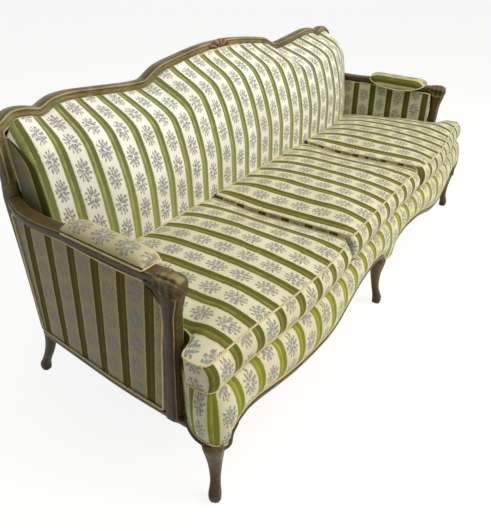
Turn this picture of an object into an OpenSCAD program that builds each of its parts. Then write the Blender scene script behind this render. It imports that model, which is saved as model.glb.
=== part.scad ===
// Cabriole sofa with a carved show-wood frame, sprung deck and loose seat cushions.
// Millimetres. The front faces -Y, up is +Z, and the origin is on the floor at the middle of the sofa.

/* [Overall] */
// Width over the front feet
sofa_w = 2050; // [1900:10:2250]
// Depth from the belly of the apron to the heels of the rear feet
sofa_d = 830; // [800:5:870]
// Height of the crest rail at its middle
crest_h = 882; // [860:1:940]

/* [Seat] */
// Height of the padded deck under the cushions
deck_h = 360; // [350:1:380]
// Depth of the seat from the belly of the front to the inside back
seat_depth = 539; // [510:1:560]
// Height of the cushion borders
border_h = 77; // [60:1:90]
// Rise of the cushion tops above their borders
cushion_crown = 31; // [15:1:40]
// Width of the middle cushion
middle_cushion_w = 656; // [560:2:760]
// How far a cushion's front border swells past its piping
border_swell = 19; // [8:1:20]

/* [Front] */
// How far the middle of the front is set back from its belly
front_recess = 17; // [5:1:30]
// How far the ends of the front are set back from its belly
front_sweep = 37; // [20:1:45]
// How far the padded apron swells past the front line
apron_swell = 22; // [10:1:26]
// Thickness of the apron's padding on the rail
apron_padding = 12; // [8:1:16]
// Thickness of the front seat rail
front_rail_t = 28; // [22:1:32]
// Radius of the front corners
corner_r = 38; // [25:1:50]
// Height of the show-wood moulding under the apron
moulding_h = 24; // [16:1:28]

/* [Legs] */
// Height of the front legs up to the fabric
leg_h = 192; // [170:1:205]
// Radius of the feet
foot_r = 16; // [12:1:20]
// Radius of the ankles
ankle_r = 13; // [10:1:17]
// Radius of the knees
knee_r = 28; // [22:1:30]
// How far the front feet kick out past the knees
foot_kick = 17; // [8:1:24]
// How far the rear feet rake back past the back posts
rear_rake = 51; // [30:1:55]

/* [Arms] */
// Height of the carved knuckle at the front of each arm
arm_h = 603; // [580:1:625]
// Distance between the middle lines of the arms
arm_span = 1906; // [1896:2:1916]
// Width of the wooden arm rail
arm_rail_w = 46; // [38:1:48]
// Height of the wooden arm rail
arm_rail_t = 26; // [20:1:28]
// Thickness of the padded armrest on top of the rail
armrest_t = 30; // [20:1:40]
// Length of the padded armrest
armrest_l = 268; // [220:1:290]
// Thickness of the padding on the inside of an arm
inner_arm_t = 9; // [6:1:10]
// Thickness of the padded panel on the outside of an arm
outer_arm_t = 5; // [4:0.5:6]

/* [Back] */
// Half width over the ears of the crest rail
ear_reach = 930; // [920:1:940]
// Depth of the dips in the crest rail below its middle
crest_dip = 62; // [40:1:70]
// Height of the crest rail's section
crest_t = 28; // [24:1:34]
// Depth of the crest rail's section, front to back
crest_d = 38; // [32:1:40]
// Thickness of the sawn rails inside the back
back_rail_t = 22; // [18:1:26]
// Height of the seat rails at the sides and rear
seat_rail_h = 115; // [90:1:120]

/* [Hidden] */

half_w = sofa_w / 2;
half_d = sofa_d / 2;
// Clearance between soft pieces and their neighbours
gap = 0.4;
// Overrun of every cut
over = 1;

// Smooth curve through rows of [place, value], with free ends
function clamp(v, lo, hi) = min(max(v, lo), hi);
function mix(a, b, t) = a + (b - a) * t;
function ease(t) = let (s = clamp(t, 0, 1)) s * s * (3 - 2 * s);
function row_slope(rows, i) =
  let (a = rows[max(i - 1, 0)], b = rows[min(i + 1, len(rows) - 1)]) (b[1] - a[1]) / (b[0] - a[0]);
function row_index(rows, x, i = 0) =
  i >= len(rows) - 2 || x < rows[i + 1][0] ? i : row_index(rows, x, i + 1);
function along(rows, x) =
  let (
    s = clamp(x, rows[0][0], rows[len(rows) - 1][0]),
    i = row_index(rows, s),
    w = rows[i + 1][0] - rows[i][0],
    t = (s - rows[i][0]) / w
  )
    (2 * t ^ 3 - 3 * t ^ 2 + 1) * rows[i][1] + (t ^ 3 - 2 * t ^ 2 + t) * w * row_slope(rows, i)
    + (3 * t ^ 2 - 2 * t ^ 3) * rows[i + 1][1] + (t ^ 3 - t ^ 2) * w * row_slope(rows, i + 1);

function unit(v) = v / norm(v);
function mean(p) = [for (k = [0:len(p[0]) - 1]) let (v = [for (q = p) q[k]]) v * [for (q = p) 1] / len(p)];

// A rounded section of so many sides, with its half sizes along two directions
function section(c, side, up, w, h, sides, square) =
  [
    for (i = [0:sides - 1])
      let (x = cos(360 * (i + 0.5) / sides), y = sin(360 * (i + 0.5) / sides))
        c + side * w * sign(x) * abs(x) ^ square + up * h * sign(y) * abs(y) ^ square
  ];
function heading(path, i) = unit(path[min(i + 1, len(path) - 1)] - path[max(i - 1, 0)]);
function sweep(path, side, w, h, sides = 10, square = 0.55) =
  [
    for (i = [0:len(path) - 1])
      let (t = heading(path, i), s = unit(side - t * (side * t)))
        section(path[i], s, cross(t, s), w[min(i, len(w) - 1)], h[min(i, len(h) - 1)], sides, square)
  ];

// A solid through rings of points, closed at both ends
module loft(rings) {
  n = len(rings[0]);
  m = len(rings);
  polyhedron(
    points = [for (r = rings) each r, mean(rings[0]), mean(rings[m - 1])],
    faces = [
      for (i = [0:m - 2], j = [0:n - 1])
        let (k = (j + 1) % n)
          each [[i * n + j, (i + 1) * n + j, (i + 1) * n + k], [i * n + j, (i + 1) * n + k, i * n + k]],
      for (j = [0:n - 1]) [m * n, j, (j + 1) % n],
      for (j = [0:n - 1]) [m * n + 1, (m - 1) * n + (j + 1) % n, (m - 1) * n + j]
    ],
    convexity = 8
  );
}

// A panel between an outer grid and an inner grid of points; rows cross columns gives outwards
module slab(a, b) {
  m = len(a);
  n = len(a[0]);
  s = m * n;
  polyhedron(
    points = [for (r = a) each r, for (r = b) each r],
    faces = [
      for (i = [0:m - 2], j = [0:n - 2])
        let (p = i * n + j, q = p + n)
          each [[p, p + 1, q + 1], [p, q + 1, q], [s + p, s + q + 1, s + p + 1], [s + p, s + q, s + q + 1]],
      for (i = [0:m - 2])
        let (p = i * n, q = p + n, e = p + n - 1, f = q + n - 1)
          each [[p, q, s + q], [p, s + q, s + p], [e, s + f, f], [e, s + e, s + f]],
      for (j = [0:n - 2])
        let (p = j, e = (m - 1) * n + j)
          each [[p, s + p, s + p + 1], [p, s + p + 1, p + 1], [e, e + 1, s + e + 1], [e, s + e + 1, s + e]]
    ],
    convexity = 8
  );
}

module right_hand() mirror([1, 0, 0]) children();

// Reference planes and lines
front_y = -half_d + apron_swell;
seat_back_y = front_y + seat_depth;
post_d = 36;
post_w = 34;
post_y = half_d - foot_r - rear_rake;
post_front_y = post_y - post_d / 2;
back_inset = 10;
back_face_y = post_front_y + back_inset;
outer_back_y = back_face_y + back_rail_t;
deck_t = 26;
rail_top = deck_h - deck_t;
rail_bottom = rail_top - seat_rail_h;
side_moulding_h = 16;
side_moulding_w = 26;
moulding_drop = 6;
show_bottom = leg_h - moulding_drop;
panel_bottom = show_bottom + side_moulding_h + gap;
arm_x = arm_span / 2;
arm_to_post = 33;
post_x = arm_x - arm_to_post;
knee_x = half_w - foot_r - foot_kick;
corner_reach = 12;
corner_x = knee_x + corner_reach;
post_inner = post_x - post_w / 2;

// The front line in plan, straight between stations that every piece along it shares
front_place_shares = [0, 0.2, 0.43, 0.49, 0.56, 0.68, 0.76, 0.83, 0.93, 1];
front_sweep_shares = [0, 0, 0, 0, 0.06, 0.32, 0.6, 0.84, 1, 1];
front_recess_shares = [1, 0.82, 0.14, 0, 0, 0, 0, 0, 0, 0];
front_rows = [
  for (i = [0:len(front_place_shares) - 1])
    [front_place_shares[i] * half_w, front_sweep_shares[i] * front_sweep + front_recess_shares[i] * front_recess]
];
station_count = 28;
station_w = half_w / station_count;
front_table = [for (k = [0:station_count + 1]) front_y + along(front_rows, k * station_w)];
function front_line(x) =
  let (t = min(abs(x) / station_w, station_count), k = floor(t)) mix(front_table[k], front_table[k + 1], t - k);
function stations(a, b) =
  [a, for (k = [-station_count:station_count]) let (x = k * station_w) if (x > a + gap && x < b - gap) x, b];
corner_y = front_line(corner_x);
knee_set = 21;
knee_y = corner_y + knee_set;

// Lower edge of the apron's fabric between the legs, as shares of the rise above the legs' tops
apron_rise = 80;
apron_edge_shares = [
  [0, 0.1], [0.028, 0.3], [0.06, 0.78], [0.13, 1], [0.21, 1], [0.3, 0.92], [0.37, 0.74], [0.44, 0.54], [0.52, 0.45],
  [0.66, 0.47], [0.75, 0.57], [0.865, 0.76], [0.91, 0.66], [0.94, 0.42], [0.965, 0.14], [1, 0.1]
];
function apron_edge(x) = leg_h + apron_rise * along(apron_edge_shares, abs(x) / half_w);

// Edges of the arm post by height, as shares of its lean
arm_set_back = 148;
knuckle_h = 51;
arm_front_y = front_y + arm_set_back;
arm_post_top = arm_h - knuckle_h;
post_front_shares = [[0, 0.7], [0.18, 0.72], [0.43, 0.64], [0.59, 0.56], [0.76, 0.42], [0.88, 0.34], [1, 0]];
post_rear_shares = [[0, 1], [0.18, 0.83], [0.43, 0.62], [0.6, 0.49], [0.8, 0.25], [1, 0.32]];
post_lean = 34;
post_foot_d = 76;
post_nose = 7;
function post_share(z) = (z - show_bottom) / (arm_post_top - show_bottom);
function post_front_edge(z) = arm_front_y - post_nose + post_lean * along(post_front_shares, post_share(z));
function post_rear_edge(z) =
  arm_front_y - post_nose + post_foot_d - post_lean * (1 - along(post_rear_shares, post_share(z)));
function arm_post_d(z) = post_rear_edge(z) - post_front_edge(z);
arm_splay = 9;
arm_post_w = 38;
arm_post_set = 14;
function arm_post_x(z) = -arm_x - arm_post_set - arm_splay * (1 - post_share(z)) ^ 2;

// The apron in plan: from the arm post round the corner and across the front, as [place, outward direction, swell]
apron_tuck = 44;
apron_post_gap = 3;
corner_steps = 5;
side_start_y = post_front_edge(deck_h) - apron_post_gap;
corner_c = [-corner_x + corner_r, corner_y + corner_r];
side_swell_shares = [0.05, 0.35, 0.7];
apron_side = [
  for (k = [0:2])
    let (t = k / 3)
      [[-corner_x + apron_tuck * (1 - t) ^ 2, mix(side_start_y, corner_c[1], t)], unit([-1, t - 1]), side_swell_shares[k]]
];
apron_corner = [
  for (k = [0:corner_steps])
    let (a = 180 + 90 * k / corner_steps, d = [cos(a), sin(a)]) [corner_c + corner_r * d, d, mix(0.75, 1, k / corner_steps)]
];
apron_half = [each apron_side, each apron_corner];
function other_hand(r) = [[-r[0][0], r[0][1]], [-r[1][0], r[1][1]], r[2]];
front_stations = stations(corner_c[0], -corner_c[0]);
apron_path = [
  each apron_half,
  for (k = [1:len(front_stations) - 2]) let (x = front_stations[k]) [[x, front_line(x)], [0, -1], 1],
  for (k = [len(apron_half) - 1:-1:0]) other_hand(apron_half[k])
];
side_edge_rise = 3;
side_edge = panel_bottom + side_edge_rise;
function apron_bottom(r) =
  abs(r[0][0]) < gap - corner_c[0] ? apron_edge(r[0][0])
  : mix(leg_h + gap, side_edge, ease((r[0][1] - corner_y) / corner_r));

// Padded front of the apron: [share of its height, share of its swell]
apron_profile_shares = [[0, 0.42], [0.14, 0.72], [0.36, 1], [0.6, 0.95], [0.82, 0.62], [0.95, 0.16], [1, -0.3]];
module apron_cover() {
  top = deck_h - gap;
  color("darkkhaki")
    slab(
      [
        for (r = apron_path)
          [
            for (q = apron_profile_shares)
              let (p = r[0] + r[1] * apron_swell * q[1] * r[2]) [p[0], p[1], mix(apron_bottom(r), top, q[0])]
          ]
      ],
      [
        for (r = apron_path)
          let (p = r[0] - r[1] * (apron_padding - gap))
            [for (q = apron_profile_shares) [p[0], p[1], mix(apron_bottom(r), top, q[0])]]
      ]
    );
}

// Show-wood moulding under the apron, from a corner leg to the middle leg: [share of depth, share of height]
moulding_proud = 14;
moulding_shares = [[0, 0], [0, 1], [0.85, 1], [1, 0.62], [0.7, 0]];
module front_moulding_left() {
  back = apron_padding - gap;
  color("saddlebrown")
    loft([
      for (x = stations(-knee_x + knee_r, -knee_r))
        [
          for (q = moulding_shares)
            [x, front_line(x) + back - (back + moulding_proud) * q[0], apron_edge(x) - gap - moulding_h * (1 - q[1])]
        ]
    ]);
}
module front_moulding_right() right_hand() front_moulding_left();

// Seat frame
front_post_w = 80;
front_post_d = 54;
front_post_chamfer = 8;
front_post_x = corner_x - apron_padding;
front_post_y = corner_y + apron_padding;
rail_end_x = front_post_x - front_post_w;
rail_lap = 10;
module front_rail() {
  color("burlywood")
    loft([
      for (x = stations(-rail_end_x + gap, rail_end_x - gap))
        let (y = front_line(x) + apron_padding, z = max(apron_edge(x) - rail_lap, leg_h + gap))
          [[x, y, z], [x, y + front_rail_t, z], [x, y + front_rail_t, rail_top], [x, y, rail_top]]
    ]);
}
module rear_rail() {
  end = post_inner - gap;
  color("burlywood") translate([-end, back_face_y, rail_bottom]) cube([2 * end, back_rail_t, seat_rail_h]);
}
side_rail_t = 26;
side_rail_inset = 7;
side_rail_x = post_inner + side_rail_t + side_rail_inset;
side_rail_front = front_post_y + front_post_d + gap;
module side_rail_left() {
  color("burlywood") translate([-side_rail_x, side_rail_front, rail_bottom])
    cube([side_rail_t, post_front_y - gap - side_rail_front, seat_rail_h]);
}
module side_rail_right() right_hand() side_rail_left();
brace_w = 30;
brace_h = 60;
brace_drop = 12;
brace_z = rail_top - brace_h - brace_drop;
module cross_brace(x) {
  front = front_line(x) + apron_padding + front_rail_t + 3 * gap;
  color("burlywood") translate([x - brace_w / 2, front, brace_z])
    cube([brace_w, back_face_y - gap - front, brace_h]);
}
module cross_brace_left() cross_brace(-middle_cushion_w / 2);
module cross_brace_right() cross_brace(middle_cushion_w / 2);

// Corner blocks screwed across the corners of the seat frame, with a short end against each rail
block_leg = 70;
block_h = 45;
block_rise = 4;
block_z = brace_z + block_rise;
block_tip = 8;
block_inner_x = -side_rail_x + side_rail_t + gap;
block_corners = [[block_inner_x, side_rail_front, 0], [block_inner_x, post_front_y - gap, -90]];
module at_blocks() {
  for (side = [0, 1], c = block_corners)
    mirror([side, 0, 0]) translate([c[0], c[1], block_z]) rotate(c[2]) children();
}
screw_r = 2.5;
screw_l = 34;
screw_head_r = 5;
screw_head_h = 3;
screw_clearance = 0.2;
block_face = (block_leg + block_tip) / sqrt(2);
module across_block(start) {
  translate([0, 0, block_h / 2]) rotate([0, 0, 45]) rotate([0, 90, 0]) translate([0, 0, start]) children();
}
module corner_blocks() {
  color("burlywood")
    difference() {
      at_blocks() linear_extrude(block_h)
        polygon([[0, 0], [block_leg, 0], [block_leg, block_tip], [block_tip, block_leg], [0, block_leg]]);
      at_blocks() across_block(block_face - screw_l - screw_clearance)
        cylinder(r = screw_r + screw_clearance, h = screw_l + over, $fn = 24);
    }
}
module block_screws() {
  color("silver")
    at_blocks() {
      across_block(block_face - screw_l) cylinder(r = screw_r, h = screw_l, $fn = 24);
      across_block(block_face) cylinder(r = screw_head_r, h = screw_head_h, $fn = 24);
    }
}

// Cabriole legs: [share of height, share of kick, share of the foot's girth, share of the knee's girth]
leg_shares = [
  [0, 1, 0.7, 0], [0.06, 1.05, 1.05, 0], [0.13, 1, 1, 0], [0.21, 0.72, 0.4, 0], [0.33, 0.34, 0, 0],
  [0.47, 0.12, 0, 0.12], [0.64, -0.02, 0, 0.34], [0.8, -0.04, 0, 0.64], [0.92, 0, 0, 0.9], [1, 0, 0, 1]
];
leg_sides = 12;
leg_squareness = 0.8;
glide_h = 4;
glide_r = 9;
module cabriole_leg(knee, out) {
  loft([
    for (r = leg_shares)
      let (w = ankle_r + (foot_r - ankle_r) * r[2] + (knee_r - ankle_r) * r[3])
        section(
          [knee[0] + out[0] * foot_kick * r[1], knee[1] + out[1] * foot_kick * r[1], mix(glide_h, leg_h, r[0])],
          [out[0], out[1], 0], [-out[1], out[0], 0], w, w, leg_sides, leg_squareness
        )
  ]);
}
front_leg_out = unit([-0.93, -0.37]);
module front_leg_left() {
  r = corner_r - apron_padding;
  c = [corner_c[0], corner_c[1]];
  rear = side_rail_front - gap;
  color("saddlebrown") {
    cabriole_leg([-knee_x, knee_y], front_leg_out);
    translate([0, 0, leg_h]) linear_extrude(rail_top - leg_h)
      polygon([
        for (k = [0:corner_steps]) let (a = 180 + 90 * k / corner_steps) c + r * [cos(a), sin(a)],
        for (x = stations(corner_c[0], -rail_end_x)) if (x > corner_c[0]) [x, front_line(x) + apron_padding],
        [-rail_end_x, rear], [-front_post_x + front_post_chamfer, rear]
      ]);
  }
}
module front_leg_right() right_hand() front_leg_left();
middle_knee_set = 12;
middle_knee = [0, front_line(0) + apron_padding + middle_knee_set];
module front_leg_centre() color("saddlebrown") cabriole_leg(middle_knee, [0, -1]);

// Rear legs rake back from the posts: [share of height, share of rake, girth as a share of the foot]
rear_leg_shares = [
  [0, 1, 0.85], [0.06, 1, 1], [0.14, 0.95, 0.98], [0.26, 0.74, 0.86], [0.45, 0.42, 0.9], [0.65, 0.17, 0.98],
  [0.83, 0.03, 1.05], [1, 0, 1.05]
];
foot_lean = 14;
rear_foot = [-post_x - foot_lean, post_y + rear_rake];
module rear_leg_left() {
  color("saddlebrown")
    loft([
      for (r = rear_leg_shares)
        section(
          [-post_x - foot_lean * r[1], post_y + rear_rake * r[1], mix(glide_h, show_bottom - gap, r[0])],
          [1, 0, 0], [0, 1, 0], foot_r * r[2], foot_r * r[2], leg_sides, leg_squareness
        )
    ]);
}
module rear_leg_right() right_hand() rear_leg_left();
front_foot = [-knee_x, knee_y] + front_leg_out * foot_kick;
module foot_glides() {
  color("dimgray")
    for (p = [front_foot, middle_knee - [0, foot_kick], [-front_foot[0], front_foot[1]], rear_foot,
      [-rear_foot[0], rear_foot[1]]])
      translate([p[0], p[1], 0]) cylinder(r = glide_r, h = glide_h, $fn = 32);
}

// Back posts rise from the rear legs and narrow into the stiles beside the back
stile_w = 23;
arm_joint_z = arm_h + 6;
ear_drop = 35;
ear_z = crest_h - crest_dip - ear_drop;
ear_x = ear_reach - crest_t / 2;
stile_rise = 80;
function stile_share(z) = ease((z - arm_joint_z) / stile_rise);
function stile_x(z) = mix(post_x, ear_x, stile_share(z));
function stile_half(z) = mix(post_w, stile_w, stile_share(z)) / 2;
crest_inset = 1;
crest_y = back_face_y + crest_d / 2 + crest_inset;
post_level_shares = [0, 0.35, 0.7, 0.74, 0.78, 0.82, 0.86, 0.93, 1];
post_squareness = 0.45;
module back_post_left() {
  color("saddlebrown")
    loft([
      for (s = post_level_shares)
        let (z = mix(show_bottom, ear_z - gap, s), t = ease((z - rail_top) / (ear_z - rail_top)))
          section(
            [-stile_x(z), mix(post_y, crest_y, t), z], [1, 0, 0], [0, 1, 0],
            stile_half(z), mix(post_d, crest_d, t) / 2, 12, post_squareness
          )
    ]);
}
module back_post_right() right_hand() back_post_left();

// Crest rail: [share of the ear's reach, share of the dip]
crest_shares = [
  [0, 0], [0.083, 0.016], [0.179, 0.145], [0.249, 0.27], [0.3155, 0.4], [0.355, 0.52], [0.395, 0.77], [0.428, 0.99],
  [0.491, 0.98], [0.59, 0.84], [0.674, 0.71], [0.753, 0.61], [0.808, 0.66], [0.838, 0.81], [0.862, 0.935], [0.89, 0.82],
  [0.9225, 0.74], [0.952, 0.77], [0.978, 1]
];
function crest_line(x) = crest_h - crest_t / 2 - crest_dip * along(crest_shares, abs(x) / ear_x);
crest_rows = len(crest_shares) - 1;
ear_turn_share = 0.62;
ear_turn = 1;
ear_end = 6;
crest_half = [
  for (k = [0:2 * crest_rows])
    let (i = min(floor(k / 2), crest_rows - 1), x = ear_x * mix(crest_shares[i][0], crest_shares[i + 1][0], k / 2 - i))
      [x, crest_y, crest_line(x)],
  [ear_x - ear_turn, crest_y, mix(ear_z, crest_line(ear_x * crest_shares[crest_rows][0]), ear_turn_share)],
  [ear_x, crest_y, ear_z + ear_end],
  [ear_x, crest_y, ear_z]
];
crest_path = [
  for (k = [len(crest_half) - 1:-1:1]) [-crest_half[k][0], crest_y, crest_half[k][2]],
  each crest_half
];
module crest_rail() {
  color("olive") loft(sweep(crest_path, [0, 1, 0], [crest_d / 2], [crest_t / 2], 10, 0.5));
}

// Shell carved at the middle of the crest, standing on its front: [share of depth, share of height]
carving_w = 118;
carving_h = 36;
carving_t = 9;
carving_steps = 10;
carving_shares = [[0, 0.5], [0.7, 0.42], [1, 0.12], [0.7, -0.14], [0, -0.2]];
module crest_carving() {
  color("sienna")
    loft([
      for (k = [0:carving_steps])
        let (t = 0.98 * (2 * k / carving_steps - 1), w = sqrt(1 - t * t))
          [
            for (q = carving_shares)
              [
                t * carving_w / 2, crest_y - crest_d / 2 - gap - carving_t * q[0] * w,
                crest_h - crest_t / 2 + carving_h * q[1] * w
              ]
          ]
    ]);
}

// Sawn members inside the back
lower_back_h = 50;
lower_back_rise = 14;
lower_back_z = deck_h + lower_back_rise;
lower_back_top = lower_back_z + lower_back_h;
module lower_back_rail() {
  end = post_inner - gap;
  color("burlywood") translate([-end, back_face_y, lower_back_z]) cube([2 * end, back_rail_t, lower_back_h]);
}
upright_w = 45;
upright_share = 0.44;
module back_uprights() {
  x = ear_x * upright_share;
  top = crest_line(x) - crest_t / 2 - 2 * gap;
  color("burlywood")
    for (side = [-1, 1])
      translate([side * x - upright_w / 2, back_face_y, lower_back_top + gap])
        cube([upright_w, back_rail_t, top - lower_back_top - gap]);
}
web_w = 50;
web_t = 1.5;
web_lap = 8;
web_shares = [-0.86, -0.7, -0.54, -0.28, -0.1, 0.1, 0.28, 0.54, 0.7, 0.86];
module back_webbing() {
  color("tan")
    for (s = web_shares)
      let (x = s * ear_x, z = lower_back_z + web_lap)
        translate([x - web_w / 2, back_face_y - web_t, z]) cube([web_w, web_t, crest_line(x) - crest_t / 2 + web_lap - z]);
}

// Back pad: upright over the seat, rounded towards the crest and rolled back beside the stiles
pad_back_y = back_face_y - web_t - gap;
pad_depth = pad_back_y - seat_back_y;
pad_bottom = deck_h + gap;
pad_top_lap = 6;
pad_arm_gap = 2;
pad_arm_half = arm_x - arm_rail_w / 2 - pad_arm_gap;
pad_end_slope = 1.2;
pad_column_shares = [0, 0.11, 0.2, 0.3, 0.42, 0.54, 0.66, 0.76, 0.85, 0.92, 0.97, 1];
pad_row_shares = [
  0.05, 0.15, 0.25, 0.33, 0.39, 0.43, 0.5, 0.58, 0.66, 0.72, 0.78, 0.82, 0.86, 0.9, 0.94, 0.975, 1
];
pad_rows = [for (k = [len(pad_row_shares) - 1:-1:0]) -pad_row_shares[k], each pad_row_shares];
pad_roll_shares = [[0, 1], [0.66, 1], [0.72, 0.99], [0.8, 0.93], [0.89, 0.77], [0.95, 0.66], [1, 0.58]];
function pad_top_half() = stile_x(ear_z) - stile_half(ear_z) - 2 * gap;
pad_narrow_z = arm_h - 98;
pad_narrow_h = 74;
function pad_half(z) = mix(pad_arm_half, pad_top_half(), ease((z - pad_narrow_z) / pad_narrow_h));
function pad_rear_half(z) = min(pad_half(z), stile_x(z) - stile_half(z)) - 2 * gap;
function pad_top(x) =
  min(crest_line(x) - crest_t / 2 + pad_top_lap, ear_z - pad_top_lap + (pad_top_half() - abs(x)) * pad_end_slope);
// Fall of the pad's front towards the crest: [share of the height over the seat, share of the pad's depth]
pad_fall_shares = [
  [0, 1], [0.392, 1], [0.459, 0.98], [0.517, 0.948], [0.578, 0.906], [0.64, 0.854], [0.7, 0.79], [0.758, 0.71],
  [0.816, 0.6], [0.866, 0.46], [0.916, 0.29], [0.935, 0.2], [0.958, 0.14], [1, 0.1]
];
pad_edge_h = 30;
pad_edge_share = 0.93;
function pad_edge(z, top) = 1 - pad_edge_share * max(0, 1 - (top - z) / pad_edge_h) ^ 4;
function pad_share(u, z, top) =
  along(pad_roll_shares, abs(u)) * along(pad_fall_shares, (z - pad_bottom) / (crest_h - pad_bottom)) * pad_edge(z, top);
module back_pad() {
  color("beige")
    slab(
      [
        for (u = pad_rows)
          let (top = pad_top(u * pad_top_half()))
            [
              for (s = pad_column_shares)
                let (z = mix(pad_bottom, top, s)) [u * pad_half(z), pad_back_y - pad_depth * pad_share(u, z, top), z]
            ]
      ],
      [
        for (u = pad_rows)
          let (top = pad_top(u * pad_top_half()))
            [for (s = pad_column_shares) let (z = mix(pad_bottom, top, s)) [u * pad_rear_half(z), pad_back_y, z]]
      ]
    );
}

// Fabric panel across the outside of the back, between the posts and under the crest
outer_back_t = 4;
outer_back_steps = 44;
outer_back_levels = 12;
outer_back_drop = 6;
function inner_edge(z) = stile_x(z) - stile_half(z) - gap;
module outer_back() {
  top = ear_z - crest_t / 4;
  levels = [for (k = [0:outer_back_levels]) mix(arm_joint_z - crest_t, top, k / outer_back_levels)];
  color("olivedrab") translate([0, outer_back_y + outer_back_t, 0]) rotate([90, 0, 0])
    linear_extrude(outer_back_t)
      polygon([
        [-inner_edge(rail_bottom), rail_bottom],
        [inner_edge(rail_bottom), rail_bottom],
        for (z = levels) [inner_edge(z), z],
        for (k = [1:outer_back_steps - 1])
          let (x = mix(inner_edge(top), -inner_edge(top), k / outer_back_steps))
            [x, crest_line(x) - crest_t / 2 - outer_back_drop],
        for (k = [len(levels) - 1:-1:0]) [-inner_edge(levels[k]), levels[k]]
      ]);
}

// Arm rail from the knuckle to the back post: [share of length, share of width outwards, shares of the rail's height
// for its top and its depth, share of its half width]
arm_shares = [
  [0, 0.19, -0.81, 0.4, 0.42], [0.007, 0.19, -0.42, 1.12, 0.74], [0.02, 0.19, -0.15, 1.7, 0.92],
  [0.044, 0.19, 0, 1.96, 1], [0.078, 0.18, -0.02, 1.94, 1], [0.092, 0.17, -0.04, 1.7, 1],
  [0.106, 0.15, -0.08, 1.2, 1], [0.126, 0.13, -0.11, 1.01, 1], [0.184, 0.087, -0.11, 1, 1], [0.303, 0.02, -0.08, 1, 1],
  [0.473, -0.02, 0.115, 1, 1], [0.626, -0.04, 0.3, 1, 1], [0.745, -0.03, 0.27, 1, 1], [0.847, -0.09, 0.35, 1, 1],
  [0.932, -0.23, 0.54, 1, 0.94], [1, -0.48, 1.04, 1.15, 0.84]
];
knuckle_reach = 13;
arm_start_y = arm_front_y - knuckle_reach;
arm_end_y = post_front_y - gap;
function arm_y(share) = mix(arm_start_y, arm_end_y, share);
function arm_rows(value) = [for (r = arm_shares) [arm_y(r[0]), value(r)]];
arm_top_rows = arm_rows(function (r) arm_h + arm_rail_t * r[2]);
arm_under_rows = arm_rows(function (r) arm_h + arm_rail_t * (r[2] - r[3]));
arm_inner_rows = arm_rows(function (r) arm_x + arm_rail_w * (r[1] - r[4] / 2));
arm_squareness = 0.5;
module arm_rail_left() {
  color("olive")
    loft([
      for (r = arm_shares)
        section(
          [-arm_x - arm_rail_w * r[1], arm_y(r[0]), arm_h + arm_rail_t * (r[2] - r[3] / 2)], [-1, 0, 0], [0, 0, 1],
          arm_rail_w * r[4] / 2, arm_rail_t * r[3] / 2, 12, arm_squareness
        )
    ]);
}
module arm_rail_right() right_hand() arm_rail_left();
arm_post_levels = 14;
module arm_post_left() {
  color("olive")
    loft([
      for (k = [0:arm_post_levels])
        let (z = mix(panel_bottom, arm_post_top - gap, k / arm_post_levels))
          section(
            [arm_post_x(z), (post_front_edge(z) + post_rear_edge(z)) / 2, z], [1, 0, 0], [0, 1, 0],
            arm_post_w / 2, arm_post_d(z) / 2, 12, arm_squareness
          )
    ]);
}
module arm_post_right() right_hand() arm_post_left();

// Panels on both sides of an arm, between its post and the back post and under its rail
arm_columns = 10;
arm_levels = 8;
function arm_panel_y(u, z) = mix(post_rear_edge(z) + gap, post_front_y - gap, u);
function arm_panel_z(u, v, bottom) =
  mix(bottom, along(arm_under_rows, mix(post_rear_edge(arm_post_top), post_front_y, u)) - 3 * gap, v);
function arm_grid(bottom, x_of) =
  [
    for (i = [0:arm_columns])
      [
        for (j = [0:arm_levels])
          let (u = i / arm_columns, v = j / arm_levels, z = arm_panel_z(u, v, bottom)) [x_of(u, v), arm_panel_y(u, z), z]
      ]
  ];
function shifted(grid, x) = [for (r = grid) [for (p = r) p + [x, 0, 0]]];
outer_arm_plan_shares = [[0, 1], [0.2, 0.92], [0.38, 0.78], [0.66, 0.44], [0.89, 0.15], [1, 0]];
outer_arm_flare = 41;
outer_arm_upper_share = 0.56;
outer_arm_proud = 10;
outer_arm_x = post_x + post_w / 2 + outer_arm_proud;
function outer_arm_at(u, v) =
  -outer_arm_x - outer_arm_flare * along(outer_arm_plan_shares, u) * mix(1, outer_arm_upper_share, v);
module outer_arm_left() {
  grid = arm_grid(panel_bottom, function (u, v) outer_arm_at(u, v));
  color("darkolivegreen") slab(shifted(grid, outer_arm_t), grid);
}
module outer_arm_right() right_hand() outer_arm_left();
inner_arm_set = 1.5;
inner_arm_x = arm_x - arm_rail_w / 2 + inner_arm_set;
module inner_arm_left() {
  grid = arm_grid(deck_h + gap, function (u, v) -inner_arm_x);
  color("darkolivegreen") slab(grid, shifted(grid, -inner_arm_t));
}
module inner_arm_right() right_hand() inner_arm_left();
tack_rail_h = 34;
tack_rail_t = 10;
tack_rail_l = 380;
tack_rail_rise = 4;
tack_rail_z = deck_h + tack_rail_rise;
module arm_tack_rail_left() {
  color("burlywood")
    translate([-inner_arm_x - inner_arm_t - gap - tack_rail_t, post_rear_edge(tack_rail_z) + gap, tack_rail_z])
      cube([tack_rail_t, tack_rail_l, tack_rail_h]);
}
module arm_tack_rail_right() right_hand() arm_tack_rail_left();

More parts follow.
